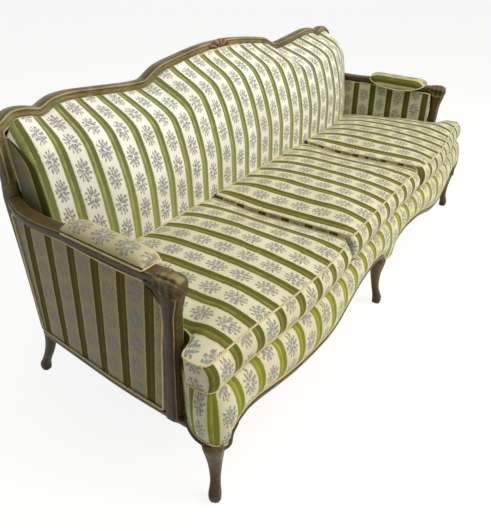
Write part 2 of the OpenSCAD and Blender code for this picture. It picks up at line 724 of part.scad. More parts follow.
// Padded armrest over the rail: [side from out to in, height of the outer part or of the inner flank, share of each]
armrest_steps = 12;
armrest_set_back = 81;
armrest_front_y = arm_front_y + armrest_set_back;
armrest_edge = 1;
armrest_drop = 30;
armrest_overhang = 3;
armrest_flank = 25;
armrest_top_shares = [[0, 0], [-0.01, 0.45], [0.11, 0.8], [0.32, 1], [0.6, 0.96], [0.9, 0.6]];
armrest_flank_share = 0.4;
module armrest_left() {
  color("khaki")
    loft([
      for (k = [0:armrest_steps])
        let (
          t = 0.985 * (2 * k / armrest_steps - 1),
          y = armrest_front_y + armrest_l * (t + 1) / 2,
          w = sqrt(1 - t ^ 6),
          seat = along(arm_top_rows, y) + 2 * gap,
          top = seat + armrest_t * (0.25 + 0.75 * w),
          inner = along(arm_inner_rows, y) - 2 * gap,
          out = inner + arm_rail_w + armrest_overhang,
          side = inner - armrest_edge - armrest_flank * w,
          low = seat - armrest_drop * (1 - t * t) ^ 0.7
        )
          [
            for (q = armrest_top_shares) [-mix(out, side, q[0]), y, mix(seat, top, q[1])],
            [-side, y, mix(low, top, armrest_flank_share)], [-side - armrest_edge, y, low], [-inner, y, low], [-inner, y, seat]
          ]
    ]);
}
module armrest_right() right_hand() armrest_left();

// Show-wood moulding along the foot of each side, from the front leg to the back post
side_moulding_steps = 12;
module side_moulding_left() {
  rear = post_front_y - gap;
  reach = rear - post_rear_edge(panel_bottom);
  color("saddlebrown")
    loft([
      for (k = [0:side_moulding_steps])
        let (y = mix(side_rail_front, rear, k / side_moulding_steps), u = clamp(1 - (rear - y) / reach, 0, 1))
          section(
            [outer_arm_at(u, 0) + side_moulding_w / 2 - outer_arm_t, y, show_bottom + side_moulding_h / 2],
            [-1, 0, 0], [0, 0, 1], side_moulding_w / 2, side_moulding_h / 2, 8, arm_squareness
          )
    ]);
}
module side_moulding_right() right_hand() side_moulding_left();

// Zig-zag springs across the seat, clipped to the front and rear rails
spring_count = 14;
spring_wire = 3.5;
spring_bends = 12;
spring_reach = 22;
spring_slant_share = 0.9;
function spring_x(k) = mix(-rail_end_x, rail_end_x, (k + 0.5) / spring_count);
function spring_front(x) = front_line(x) + apron_padding + front_rail_t / 2;
spring_rear = back_face_y + back_rail_t / 2;
module spring(x) {
  front = spring_front(x);
  pitch = (spring_rear - front) / (2 * spring_bends);
  wire_path = [
    [x, front],
    for (k = [1:2 * spring_bends - 1]) [x + (k % 2 == 0 ? -spring_reach : spring_reach), front + k * pitch],
    [x, spring_rear]
  ];
  translate([0, 0, rail_top])
    linear_extrude(spring_wire)
      polygon([
        for (p = wire_path) p + [spring_wire * spring_slant_share, 0],
        for (k = [len(wire_path) - 1:-1:0]) wire_path[k] - [spring_wire * spring_slant_share, 0]
      ]);
}
module seat_springs() color("silver") for (k = [0:spring_count - 1]) spring(spring_x(k));
clip_w = 14;
clip_l = 12;
clip_t = 1.2;
module spring_clips() {
  color("gray")
    for (k = [0:spring_count - 1])
      let (x = spring_x(k))
        for (y = [spring_front(x), spring_rear])
          translate([x - clip_w / 2, y - clip_l / 2, rail_top + spring_wire]) cube([clip_w, clip_l, clip_t]);
}

// Padded deck, notched round the back posts, and the dust cover under the braces
deck_bottom = rail_top + spring_wire + clip_t;
deck_lap = 1;
deck_half = inner_arm_x + inner_arm_t + deck_lap;
module seat_deck() {
  notch = post_inner - 2 * gap;
  color("tan") translate([0, 0, deck_bottom])
    linear_extrude(deck_h - deck_bottom)
      polygon([
        for (x = stations(-deck_half, deck_half)) [x, front_line(x) + apron_padding + 2 * gap],
        [deck_half, post_front_y - gap], [notch, post_front_y - gap], [notch, outer_back_y - gap],
        [-notch, outer_back_y - gap], [-notch, post_front_y - gap], [-deck_half, post_front_y - gap]
      ]);
}
dust_t = 1.5;
module dust_cover() {
  half = post_inner - 2 * gap;
  color("dimgray") translate([0, 0, brace_z - dust_t])
    linear_extrude(dust_t)
      polygon([
        for (x = stations(-half, half))
          [x, max(front_line(x) + apron_padding + front_rail_t, abs(x) > rail_end_x - gap ? side_rail_front : -half_d) + gap],
        [half, back_face_y - gap], [-half, back_face_y - gap]
      ]);
}

// Seat cushions: borders swell at the front between two piped edges, and the tops are crowned
cushion_bottom = deck_h + gap;
border_top = cushion_bottom + border_h;
cushion_side_x = inner_arm_x - 2 * gap;
cushion_corner = 14;
rear_lift = 14;
corner_sag = 26;
cushion_set = 18;
cushion_rear_gap = 6;
side_hollow = 4;
function cushion_front(x) = front_line(x) + cushion_set;
function cushion_rear(x) =
  pad_back_y - pad_depth * along(pad_roll_shares, min(abs(x) / pad_arm_half, 1)) - cushion_rear_gap;
lift_zone = 200;
sag_width = 230;
sag_front = 250;
sag_zone = 300;
function cushion_edge_z(p) =
  border_top + rear_lift * ease((p[1] - seat_back_y + lift_zone) / lift_zone)
  - (rear_lift + corner_sag) * ease((abs(p[0]) - cushion_side_x + sag_width) / sag_width)
  * ease((p[1] - seat_back_y + sag_front) / sag_zone);
// [share of the border's height, inset share, swell share]
border_shares = [[0, 0.006, 0.5], [0.05, 0.001, 0.6], [0.3, 0, 0.95], [0.6, 0, 1], [0.85, 0, 0.6], [0.97, 0, 0.05]];
crown_shares = [0.985, 0.93, 0.84, 0.7, 0.5, 0.28];
under_shares = [0.3, 0.9];
front_zone = 60;
function front_face(p) = ease((cushion_front(p[0]) + front_zone - p[1]) / front_zone);
module cushion(outline, c) {
  top = border_top + cushion_crown;
  loft([
    for (s = under_shares) [for (p = outline) let (q = c + (p - c) * s) [q[0], q[1], cushion_bottom]],
    for (r = border_shares)
      [
        for (p = outline)
          let (q = c + (p - c) * (1 - r[1]))
            [q[0], q[1] - border_swell * r[2] * front_face(p), mix(cushion_bottom, cushion_edge_z(p), r[0])]
      ],
    for (s = crown_shares)
      [
        for (p = outline)
          let (q = c + (p - c) * s) [q[0], q[1], mix(cushion_edge_z(p), top, 1 - s ^ 4)]
      ]
  ]);
}
function arc_points(c, r, from, to, steps) =
  [for (k = [0:steps]) let (a = mix(from, to, k / steps)) c + r * [cos(a), sin(a)]];
function front_points(a, b) = [for (x = stations(a, b)) [x, cushion_front(x)]];
function rear_points(a, b, steps) = [for (k = [1:steps - 1]) let (x = mix(a, b, k / steps)) [x, cushion_rear(x)]];
function side_points(x, from, to, hollow) =
  [for (k = [1:7]) [x + hollow * sin(180 * k / 8), mix(from, to, k / 8)]];
module seat_cushion_middle() {
  x = middle_cushion_w / 2 - gap;
  r = cushion_corner;
  front = cushion_front(x - r) + r;
  rear = cushion_rear(x) - r;
  outline = [
    each front_points(-x + r, x - r),
    each arc_points([x - r, front], r, -60, 0, 2),
    each side_points(x, front, rear, -side_hollow),
    each arc_points([x - r, rear], r, 0, 90, 2),
    each rear_points(x - r, -x + r, 9),
    each arc_points([-x + r, rear], r, 90, 180, 2),
    each side_points(-x, rear, front, side_hollow),
    each arc_points([-x + r, front], r, 180, 240, 2)
  ];
  color("palegoldenrod") cushion(outline, [0, mix(front, rear, 0.48)]);
}
// The outer cushions have an ear that reaches in front of the arm post: shares of its reach and of its depth
ear_proud = 4;
ear_out = corner_x + ear_proud;
ear_corner = 26;
ear_shares = [[0, 0], [0.06, 0.3], [0.2, 0.62], [0.48, 0.82], [0.8, 0.9], [0.97, 1.05], [1, 1.5]];
ear_depth = 46;
ear_set = 12;
module seat_cushion_left() {
  x0 = -cushion_side_x;
  x1 = -middle_cushion_w / 2 - gap;
  r = cushion_corner;
  front = cushion_front(x1 - r) + r;
  rear = cushion_rear(x1) - r;
  ear_front = cushion_front(ear_out - ear_corner) + ear_corner;
  ear_back = post_front_edge(deck_h + border_h) + ear_set;
  outline = [
    each arc_points([-ear_out + ear_corner, ear_front], ear_corner, 180, 262, 5),
    each front_points(-ear_out + ear_corner + gap, x1 - r),
    each arc_points([x1 - r, front], r, -60, 0, 2),
    each side_points(x1, front, rear, -side_hollow),
    each arc_points([x1 - r, rear], r, 0, 90, 2),
    each rear_points(x1 - r, x0 + r, 9),
    each arc_points([x0 + r, cushion_rear(x0) - r], r, 90, 180, 2),
    each side_points(x0, cushion_rear(x0) - r, ear_back, side_hollow),
    for (q = ear_shares) [mix(x0, -ear_out, q[0]), ear_back - ear_depth * q[1]]
  ];
  color("palegoldenrod") cushion(outline, [mix(x0, x1, 0.5), mix(front, rear, 0.32)]);
}
module seat_cushion_right() right_hand() seat_cushion_left();

crest_rail();
crest_carving();
back_post_left();
back_post_right();
rear_leg_left();
rear_leg_right();
front_leg_left();
front_leg_centre();
front_leg_right();
foot_glides();
front_rail();
rear_rail();
side_rail_left();
side_rail_right();
cross_brace_left();
cross_brace_right();
corner_blocks();
block_screws();
lower_back_rail();
back_uprights();
back_webbing();
seat_springs();
spring_clips();
seat_deck();
dust_cover();
arm_rail_left();
arm_rail_right();
arm_post_left();
arm_post_right();
arm_tack_rail_left();
arm_tack_rail_right();
inner_arm_left();
inner_arm_right();
outer_arm_left();
outer_arm_right();
armrest_left();
armrest_right();
front_moulding_left();
front_moulding_right();
side_moulding_left();
side_moulding_right();
apron_cover();
back_pad();
outer_back();
seat_cushion_left();
seat_cushion_middle();
seat_cushion_right();
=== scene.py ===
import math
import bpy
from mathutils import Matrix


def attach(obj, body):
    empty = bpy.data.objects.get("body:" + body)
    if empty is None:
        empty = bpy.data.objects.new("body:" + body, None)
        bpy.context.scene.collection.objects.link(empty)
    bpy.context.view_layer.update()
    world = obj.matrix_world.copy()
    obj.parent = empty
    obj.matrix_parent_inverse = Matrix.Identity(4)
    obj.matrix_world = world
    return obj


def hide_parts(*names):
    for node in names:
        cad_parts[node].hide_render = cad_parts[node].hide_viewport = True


bl_info = {
    "name": "Cabriole sofa",
    "version": (1, 0, 0),
    "blender": (4, 5, 0),
    "location": "3D View > Sidebar > Sofa",
    "description": "Dresses the sofa's frame in painted show-wood, striped brocade and loose cushions",
    "category": "Object",
}

import bmesh
import bpy
import numpy as np
from mathutils import Matrix, Vector, noise

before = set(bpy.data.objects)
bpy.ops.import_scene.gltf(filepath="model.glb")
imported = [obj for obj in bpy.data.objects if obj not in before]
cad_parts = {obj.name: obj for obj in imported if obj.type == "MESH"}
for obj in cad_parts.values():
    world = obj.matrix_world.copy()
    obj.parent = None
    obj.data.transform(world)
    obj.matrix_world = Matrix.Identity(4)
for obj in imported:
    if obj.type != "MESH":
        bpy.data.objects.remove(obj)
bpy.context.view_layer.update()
MM = 0.001

# Sizes of the frame that the dressing follows, in millimetres
HALF_W = 1025
FRONT_Y = -393
FRONT_RECESS = 17
FRONT_SWEEP = 37
CORNER_X = 1004
CORNER_R = 38
SEAT_BACK_Y = 146
DECK_H = 360
RAIL_TOP = 334
REAR_RAIL_Y = 339.6
SHOW_BOTTOM = 186
PANEL_BOTTOM = 202.4
CLEARANCE = 0.4
# Legs and back posts
LEG_H = 192
KNEE_X = 992
FOOT_KICK = 17
GLIDE_H = 4
REAR_RAKE = 51
REAR_SPLAY = 14
POST_X = 920
POST_Y = 348
POST_T = 36
POST_FRONT_Y = 330
STILE_LOW_W = 34
STILE_TOP_W = 23
STILE_TAPER_L = 80
# Back and crest
PAD_BACK_Y = 338.1
BACK_PLANE_Y = 366
OUTSIDE_BACK_Y = 362.3
OUTSIDE_BACK_BOTTOM = 219.2
CREST_H = 882
CREST_T = 28
CREST_D = 38
CREST_Y = 360
CREST_DIP = 62
EAR_X = 916
EAR_Z = 785
# Arms
ARM_X = 953
ARM_H = 603
RAIL_W = 46
RAIL_T = 26
ARM_JOINT_Z = 609
ARM_FRONT_Y = -245
ARM_POST_TOP = 552
ARM_POST_OUT = 14
ARM_POST_SPLAY = 9
POST_BEND = 34
POST_D = 69
POST_SET_BACK = 7
POST_TOE = 8
POST_HALF_W = 19.5
BRACKET_R = 38
BRACKET_Y = -161
BRACKET_Z = 535
BRACKET_FRONT_Y = -206
BRACKET_TOP = 579
BRACKET_MIDDLE = -190, 563
INNER_ARM_X = 931.5
INNER_ARM_T = 9
OUTER_ARM_T = 5
ARM_STRIPE_PITCH = 87
ARMREST_L = 268
ARMREST_T = 30
# Apron and mouldings
APRON_RISE = 80
APRON_SWELL = 22
APRON_PADDING = 11.6
CORNER_SWEEP = 44
CORD_OUT = 9.5
MOULDING_D = 25.6
MOULDING_H = 24
STRIP_HALF_W = 13
STRIP_HALF_H = 8
SIDE_FRONT_Y = -289.6
# Cushions, deck and dust cover
CUSHION_BOTTOM = 360.4
CUSHION_TOP = 468
MIDDLE_HALF = 328
BORDER_H = 77
BORDER_SWELL = 19
DECK_HALF = 941.5
DECK_T = 21
DECK_FRONT_IN = 12.8
DECK_REAR_Y = 361.6
DUST_FRONT_IN = 40
BRACE_SPAN = 574
DUST_HALF = 902.2
DUST_H = 261.6


def mix(a, b, t):
    """The value at share t between a and b."""
    return a + (b - a) * t


def ease(t):
    """A share that starts and ends gently."""
    s = np.clip(t, 0, 1)
    return s * s * (3 - 2 * s)


def along(rows, x):
    """Smooth curve through rows of (place, value)."""
    at, value = np.array(rows, float).T
    x = np.clip(x, at[0], at[-1])
    i = np.clip(np.searchsorted(at, x, side="right") - 1, 0, len(at) - 2)
    k = np.arange(len(at))
    lo, hi = np.maximum(k - 1, 0), np.minimum(k + 1, len(at) - 1)
    slope = (value[hi] - value[lo]) / (at[hi] - at[lo])
    w = at[i + 1] - at[i]
    t = (x - at[i]) / w
    return (
        (2 * t**3 - 3 * t**2 + 1) * value[i]
        + (t**3 - 2 * t**2 + t) * w * slope[i]
        + (3 * t**2 - 2 * t**3) * value[i + 1]
        + (t**3 - t**2) * w * slope[i + 1]
    )


def column(rows, k):
    """Rows of (place, value) from one column of a table."""
    return [(r[0], r[k]) for r in rows]


FRONT_SHARES = [0, 0.2, 0.43, 0.49, 0.56, 0.68, 0.76, 0.83, 0.93, 1]
SWEEP_SHARES = [0, 0, 0, 0, 0.06, 0.32, 0.6, 0.84, 1, 1]
RECESS_SHARES = [1, 0.82, 0.14, 0, 0, 0, 0, 0, 0, 0]
FRONT_ROWS = [
    (s * HALF_W, FRONT_SWEEP * a + FRONT_RECESS * b)
    for s, a, b in zip(FRONT_SHARES, SWEEP_SHARES, RECESS_SHARES)
]
APRON_EDGE_SHARES = [
    (0, 0.1), (0.028, 0.3), (0.06, 0.78), (0.13, 1), (0.21, 1), (0.3, 0.92), (0.37, 0.74),
    (0.44, 0.54), (0.52, 0.45), (0.66, 0.47), (0.75, 0.57), (0.865, 0.76), (0.91, 0.66),
    (0.94, 0.42), (0.965, 0.14), (1, 0.1),
]
CREST_SHARES = [
    (0, 0), (0.083, 0.016), (0.179, 0.145), (0.249, 0.27), (0.3155, 0.4), (0.355, 0.52),
    (0.395, 0.77), (0.428, 0.99), (0.491, 0.98), (0.59, 0.84), (0.674, 0.71), (0.753, 0.61),
    (0.808, 0.66), (0.838, 0.81), (0.862, 0.935), (0.89, 0.82), (0.9225, 0.74), (0.952, 0.77),
    (0.978, 1),
]


def front_line(x):
    """Front of the seat frame in plan."""
    return FRONT_Y + along(FRONT_ROWS, np.abs(x))


def apron_edge(x):
    """Height of the apron's lower edge between the legs."""
    return LEG_H + APRON_RISE * along(APRON_EDGE_SHARES, np.abs(x) / HALF_W)


def crest_line(x):
    """Height of the middle of the crest rail."""
    return CREST_H - CREST_T / 2 - CREST_DIP * along(CREST_SHARES, np.abs(x) / EAR_X)


def stile_share(z):
    return ease((z - ARM_JOINT_Z) / STILE_TAPER_L)


def stile_x(z):
    return mix(POST_X, EAR_X, stile_share(z))


def stile_half(z):
    return mix(STILE_LOW_W, STILE_TOP_W, stile_share(z)) / 2


def post_lean_y(z):
    return mix(POST_Y, CREST_Y, ease((z - RAIL_TOP) / (EAR_Z - RAIL_TOP)))


POST_FRONT_SHARES = [(0, 0.7), (0.18, 0.72), (0.43, 0.64), (0.59, 0.56), (0.76, 0.42), (0.88, 0.34), (1, 0)]
POST_REAR_SHARES = [(0, 1), (0.18, 0.83), (0.43, 0.62), (0.6, 0.49), (0.8, 0.25), (1, 0.32)]


def post_share(z):
    return (z - SHOW_BOTTOM) / (ARM_POST_TOP - SHOW_BOTTOM)


def arm_post_front(z):
    return ARM_FRONT_Y - POST_SET_BACK + POST_BEND * along(POST_FRONT_SHARES, post_share(z))


def arm_post_rear(z):
    s = post_share(z)
    toe = POST_TOE * np.clip(1 - s, 0, 1) ** 0.6
    return ARM_FRONT_Y + POST_D - POST_BEND * (1 - along(POST_REAR_SHARES, s)) - toe


def arm_post_x(z):
    return -ARM_X - ARM_POST_OUT - ARM_POST_SPLAY * (1 - post_share(z)) ** 2


# Arm rail from the knuckle back: share of its length, then shares of its width outwards, of its height for
# the top and the depth, and of its half width
ARM_SHARES = [
    (0, 0.19, -0.81, 0.4, 0.42), (0.007, 0.19, -0.42, 1.12, 0.74), (0.02, 0.19, -0.15, 1.7, 0.92),
    (0.044, 0.19, 0, 1.96, 1), (0.078, 0.18, -0.02, 1.94, 1), (0.092, 0.17, -0.04, 1.7, 1),
    (0.106, 0.15, -0.08, 1.2, 1), (0.126, 0.13, -0.11, 1.01, 1), (0.184, 0.087, -0.11, 1, 1),
    (0.303, 0.02, -0.08, 1, 1), (0.473, -0.02, 0.115, 1, 1), (0.626, -0.04, 0.3, 1, 1),
    (0.745, -0.03, 0.27, 1, 1), (0.847, -0.09, 0.35, 1, 1), (0.932, -0.23, 0.54, 1, 0.94),
    (1, -0.48, 1.04, 1.15, 0.84),
]
KNUCKLE_NOSE = 13
ARM_START_Y, ARM_END_Y = ARM_FRONT_Y - KNUCKLE_NOSE, POST_FRONT_Y - CLEARANCE


def arm_y(share):
    return mix(ARM_START_Y, ARM_END_Y, share)


def arm_row(value):
    return [(arm_y(r[0]), value(r)) for r in ARM_SHARES]


ARM_TOP = arm_row(lambda r: ARM_H + RAIL_T * r[2])
ARM_UNDER = arm_row(lambda r: ARM_H + RAIL_T * (r[2] - r[3]))
ARM_INNER = arm_row(lambda r: ARM_X + RAIL_W * (r[1] - r[4] / 2))


# Mesh making


X_WAY, Y_WAY, Z_WAY, OUT_WAY = [1, 0, 0], [0, 1, 0], [0, 0, 1], [-1, 0, 0]
WOOD, FABRIC = "painted_wood", "striped_fabric"


def linear(code):
    """An sRGB hex colour as linear red, green, blue and alpha."""
    v = [int(code[i : i + 2], 16) / 255 for i in (1, 3, 5)]
    return tuple(c / 12.92 if c <= 0.04045 else ((c + 0.055) / 1.055) ** 2.4 for c in v) + (1.0,)


def strip_faces(m, n, wrap=False):
    """Quads between m rows of n points."""
    last = n if wrap else n - 1
    return [
        (i * n + j, (i + 1) * n + j, (i + 1) * n + (j + 1) % n, i * n + (j + 1) % n)
        for i in range(m - 1)
        for j in range(last)
    ]


def closed_rings(rings):
    """Points and faces of a solid through rings, capped at both ends."""
    rings = np.array(rings, float)
    m, n, _ = rings.shape
    points = np.concatenate([rings.reshape(-1, 3), rings[:1].mean(1), rings[-1:].mean(1)])
    faces = strip_faces(m, n, True)
    faces += [(m * n, j, (j + 1) % n) for j in range(n)]
    faces += [(m * n + 1, (m - 1) * n + (j + 1) % n, (m - 1) * n + j) for j in range(n)]
    return points, faces


def closed_panel(front, back):
    """Points and faces of a panel between two grids of the same size."""
    m, n, _ = front.shape
    s = m * n
    quads = strip_faces(m, n)
    faces = quads + [tuple(s + k for k in q[::-1]) for q in quads]
    rim = [i * n for i in range(m)] + [(m - 1) * n + j for j in range(1, n)]
    rim += [i * n + n - 1 for i in range(m - 2, -1, -1)] + list(range(n - 2, 0, -1))
    faces += [(a, b, s + b, s + a) for a, b in zip(rim, rim[1:] + rim[:1])]
    return np.concatenate([front.reshape(-1, 3), back.reshape(-1, 3)]), faces


def rim_of(grid):
    """The edge of a grid of points, once round."""
    return np.array([*grid[0], *grid[:, -1], *grid[-1, ::-1], *grid[::-1, 0]])


def make_piece(name, points, faces, material, slot, cloth=None, glaze=None, body="frame", stands_for=()):
    """A mesh piece that rides on a body, with its cloth map and its glaze where it has them."""
    mesh = bpy.data.meshes.new(name)
    mesh.from_pydata((np.array(points, float) * MM).tolist(), [], faces)
    if glaze is not None:
        mesh.attributes.new("glaze", "FLOAT", "POINT").data.foreach_set("value", np.array(glaze, np.float32))
    if cloth is not None:
        layer = mesh.uv_layers.new(name="cloth")
        cloth = np.array(cloth, float) * MM
        if len(cloth) == len(points):
            vertex = np.zeros(len(mesh.loops), int)
            mesh.loops.foreach_get("vertex_index", vertex)
            cloth = cloth[vertex]
        layer.uv.foreach_set("vector", cloth.astype(np.float32).ravel())
    work = bmesh.new()
    work.from_mesh(mesh)
    bmesh.ops.recalc_face_normals(work, faces=work.faces)
    work.to_mesh(mesh)
    work.free()
    mesh.polygons.foreach_set("use_smooth", [True] * len(mesh.polygons))
    mesh.materials.append(material)
    piece = bpy.data.objects.new(name, mesh)
    bpy.context.scene.collection.objects.link(piece)
    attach(piece, body)
    if stands_for:
        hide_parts(*stands_for)
    return piece


def make_pair(name, solid, material, slot, stands_for=None, **settings):
    """A left-hand piece and its mirror image."""
    points, faces = solid
    pieces = []
    for hand, side in both_hands(points):
        nodes = [f"{stands_for}_{hand}"] if stands_for else ()
        pieces.append(make_piece(f"{name}_{hand}", side, faces, material, slot, stands_for=nodes, **settings))
    return pieces


def both_hands(points):
    """The left-hand points and their mirror image, with the ends of their names."""
    points = np.array(points, float)
    return [("left", points), ("right", points * [-1, 1, 1])]


def soft_ring(c, side, up, w, h, n, square):
    """A rounded ring of n points about c."""
    x, y = np.cos(turns(n)), np.sin(turns(n))
    x, y = np.sign(x) * np.abs(x) ** square, np.sign(y) * np.abs(y) ** square
    return np.array(c) + np.outer(x * w, side) + np.outer(y * h, up)


def turns(n):
    """Where n points stand round a ring, as angles."""
    return (np.arange(n) + 0.5) * 2 * np.pi / n


def arc(c, r, a, b, n=7):
    """Points on part of a circle, from a to b in degrees."""
    return [(c[0] + r * math.cos(t), c[1] + r * math.sin(t)) for t in np.radians(np.linspace(a, b, n))]


def outward(ring, c):
    """Unit directions from c to the points of a ring."""
    away = ring - np.array(c)
    return away / np.linalg.norm(away, axis=1)[:, None]


def lines_at(a, degrees, width):
    """For the angles of a ring, one where a line runs along the piece and nothing away from it."""
    return sum(np.exp(-((a - math.radians(g)) / width) ** 2) for g in degrees)


def run_along(path):
    """Length from the start to each point of a path."""
    return np.concatenate([[0], np.cumsum(np.linalg.norm(np.diff(path, axis=0), axis=1))])


def path_frames(path, side):
    """The heading, side and up directions along a path."""
    path = np.array(path, float)
    head = np.gradient(path, axis=0)
    head /= np.linalg.norm(head, axis=1)[:, None]
    s = np.array(side, float) - head * (head @ np.array(side, float))[:, None]
    s /= np.linalg.norm(s, axis=1)[:, None]
    return head, s, np.cross(head, s)


def even_path(points, step, closed=False):
    """The same path with points a step apart."""
    p = np.array(points, float)
    if closed:
        p = np.concatenate([p, p[:1]])
    run = run_along(p)
    count = max(int(round(run[-1] / step)), 8)
    at = np.linspace(0, run[-1], count + 1)
    p = np.stack([np.interp(at, run, p[:, k]) for k in range(3)], 1)
    return p[:-1] if closed else p


def smooth_path(points, rounds, closed=False):
    """The path with its kinks eased."""
    p = np.array(points, float)
    for _ in range(rounds):
        q = p.copy()
        if closed:
            q = (np.roll(p, 1, 0) + 2 * p + np.roll(p, -1, 0)) / 4
        else:
            q[1:-1] = (p[:-2] + 2 * p[1:-1] + p[2:]) / 4
        p = q
    return p


def make_cord(name, path, radius, material, body="frame", closed=False, step=5):
    """A twisted cord sewn along a path."""
    path = even_path(path, step, closed)
    if closed:
        path = np.concatenate([path, path[:1]])
    head = np.gradient(path, axis=0)
    if closed:
        head[0] = head[-1] = path[1] - path[-2]
    head /= np.linalg.norm(head, axis=1)[:, None]
    side = np.zeros_like(head)
    last = np.array([0.0, 0, 1]) if abs(head[0][2]) < 0.9 else np.array([0.0, 1, 0])
    for k, h in enumerate(head):
        last = last - h * (last @ h)
        last = last / np.linalg.norm(last)
        side[k] = last
    up = np.cross(head, side)
    n = 8
    a = (np.arange(n) * 2 * np.pi / n)[None, :, None]
    run = run_along(path)
    rings = path[:, None] + radius * (np.cos(a) * side[:, None] + np.sin(a) * up[:, None])
    points, faces = closed_rings(rings)
    wide = 2 * np.pi * radius
    cloth = []
    for f in faces:
        ks = [k % n if k < len(path) * n else None for k in f]
        ends = 0 in ks and n - 1 in ks
        for k, j in zip(f, ks):
            if j is None:
                cloth.append((0, run[0 if k == len(path) * n else -1]))
            else:
                cloth.append(((n if ends and j == 0 else j) / n * wide, run[k // n]))
    return make_piece(name, points, faces, material, FABRIC, cloth=cloth, body=body)


def rumple(points, size, depth):
    """A slow unevenness for each point, up to depth."""
    return np.array([noise.noise(Vector(p) / size) for p in points]) * depth


FILL_FRAMES = 20


def fill_out(piece, held, caps, pressure=4.0):
    """Blows the fabric out with the cloth solver, holding the seams, and caps how far each point moves."""
    mesh = piece.data
    rest = np.array([v.co for v in mesh.vertices], float)
    group = piece.vertex_groups.new(name="seams")
    group.add([int(k) for k in held], 1.0, "REPLACE")
    cloth = piece.modifiers.new("filling", "CLOTH")
    s = cloth.settings
    s.quality = 5
    s.mass = 0.3
    s.tension_stiffness = s.compression_stiffness = 18
    s.bending_stiffness = 0.6
    s.use_pressure = True
    s.uniform_pressure_force = pressure
    s.vertex_group_mass = "seams"
    s.effector_weights.gravity = 0
    scene = bpy.context.scene
    for f in range(1, FILL_FRAMES + 1):
        scene.frame_set(f)
    shown = piece.evaluated_get(bpy.context.evaluated_depsgraph_get()).to_mesh()
    full = np.array([v.co for v in shown.vertices], float)
    piece.modifiers.remove(cloth)
    piece.vertex_groups.clear()
    scene.frame_set(1)
    move = full - rest
    far = np.linalg.norm(move, axis=1)
    cap = np.array(caps, float) * MM
    rest = rest + move * np.minimum(1, cap / np.maximum(far, 1e-9))[:, None]
    mesh.vertices.foreach_set("co", rest.astype(np.float32).ravel())
    mesh.update()
    finer = piece.modifiers.new("finer", "SUBSURF")
    finer.levels = finer.render_levels = 1


# Materials


def put(tree, kind, *inputs, **settings):
    """Adds a node with its settings, and links or sets its inputs in order. A colour is an sRGB hex code."""
    node = tree.nodes.new("ShaderNode" + kind)
    for key, value in settings.items():
        if key.startswith("in_"):
            inputs = (*inputs, (key[3:].replace("_", " "), value))
        else:
            setattr(node, key, value)
    for k, value in enumerate(inputs):
        if isinstance(value, tuple) and len(value) == 2 and isinstance(value[0], str):
            socket, value = node.inputs[value[0]], value[1]
        else:
            socket = node.inputs[k]
        if value is None:
            continue
        if isinstance(value, str):
            value = linear(value)
        if isinstance(value, bpy.types.Node):
            value = value.outputs[0]
        if isinstance(value, bpy.types.NodeSocket):
            tree.links.new(value, socket)
        else:
            socket.default_value = value
    return node


def spread(tree, value, *limits):
    """Adds a node that maps a value from between the first two limits to between the last two."""
    return put(tree, "MapRange", value, *limits)


def blend(tree, share, a, b):
    """Adds a node that mixes two colours."""
    return put(tree, "MixRGB", share, a, b)


def cloudy(tree, at, scale, detail=3.0):
    """Adds a noise."""
    return put(tree, "TexNoise", at, in_Scale=scale, in_Detail=detail)


def waves(tree, at, pitch, way):
    """Adds waves that repeat at a pitch in metres along X, Y or Z."""
    return put(tree, "TexWave", at, in_Scale=1 / (pitch * 6.28), bands_direction=way)


def relief(tree, height, strength, distance):
    """Adds a bump."""
    return put(tree, "Bump", in_Strength=strength, in_Distance=distance, in_Height=height)


def maths(tree, operation, *inputs, **settings):
    """Adds a node that calculates."""
    return put(tree, "Math", *inputs, operation=operation, **settings)


def wire(tree, shader, **outputs):
    """Links nodes to the shader's sockets by name."""
    for key, node in outputs.items():
        tree.links.new(node.outputs[0], shader.inputs[key.replace("_", " ")])


def start_material(name, roughness, **constants):
    """A material with one principled shader whose constant values are set on its own sockets."""
    old = bpy.data.materials.get(name)
    if old:
        return old, None, None
    material = bpy.data.materials.new(name)
    material.use_nodes = True
    tree = material.node_tree
    shader = tree.nodes["Principled BSDF"]
    shader.inputs["Roughness"].default_value = roughness
    for key, value in constants.items():
        shader.inputs[key.replace("_", " ")].default_value = value
    return material, tree, shader


# Sizes of the weave in metres. Real threads are 0.3 mm apart; they are drawn further apart so that they show.
THREAD = 0.0016
PICOT_PITCH = 0.0055
PILE_EDGE = 0.0006
PICOT_NEAR, PICOT_FAR = 0.0012, 0.0058
WANDER = 0.003
SPRIG_HALF_W, SPRIG_HALF_H = 0.0235, 0.034
PILE_H = 0.0009
# Rings of leaves round a sprig's posy: count, turn, then radius, reach and width of a leaf as shares
LEAF_RINGS = [
    (7, 0.3, 0.5, 0.16, 0.32), (11, 0.1, 0.8, 0.15, 0.26), (7, 0.8, 0.6, 0.4, 0.05),
    (5, 0.1, 0.27, 0.13, 0.4), (15, 0.6, 0.64, 0.07, 0.18),
]


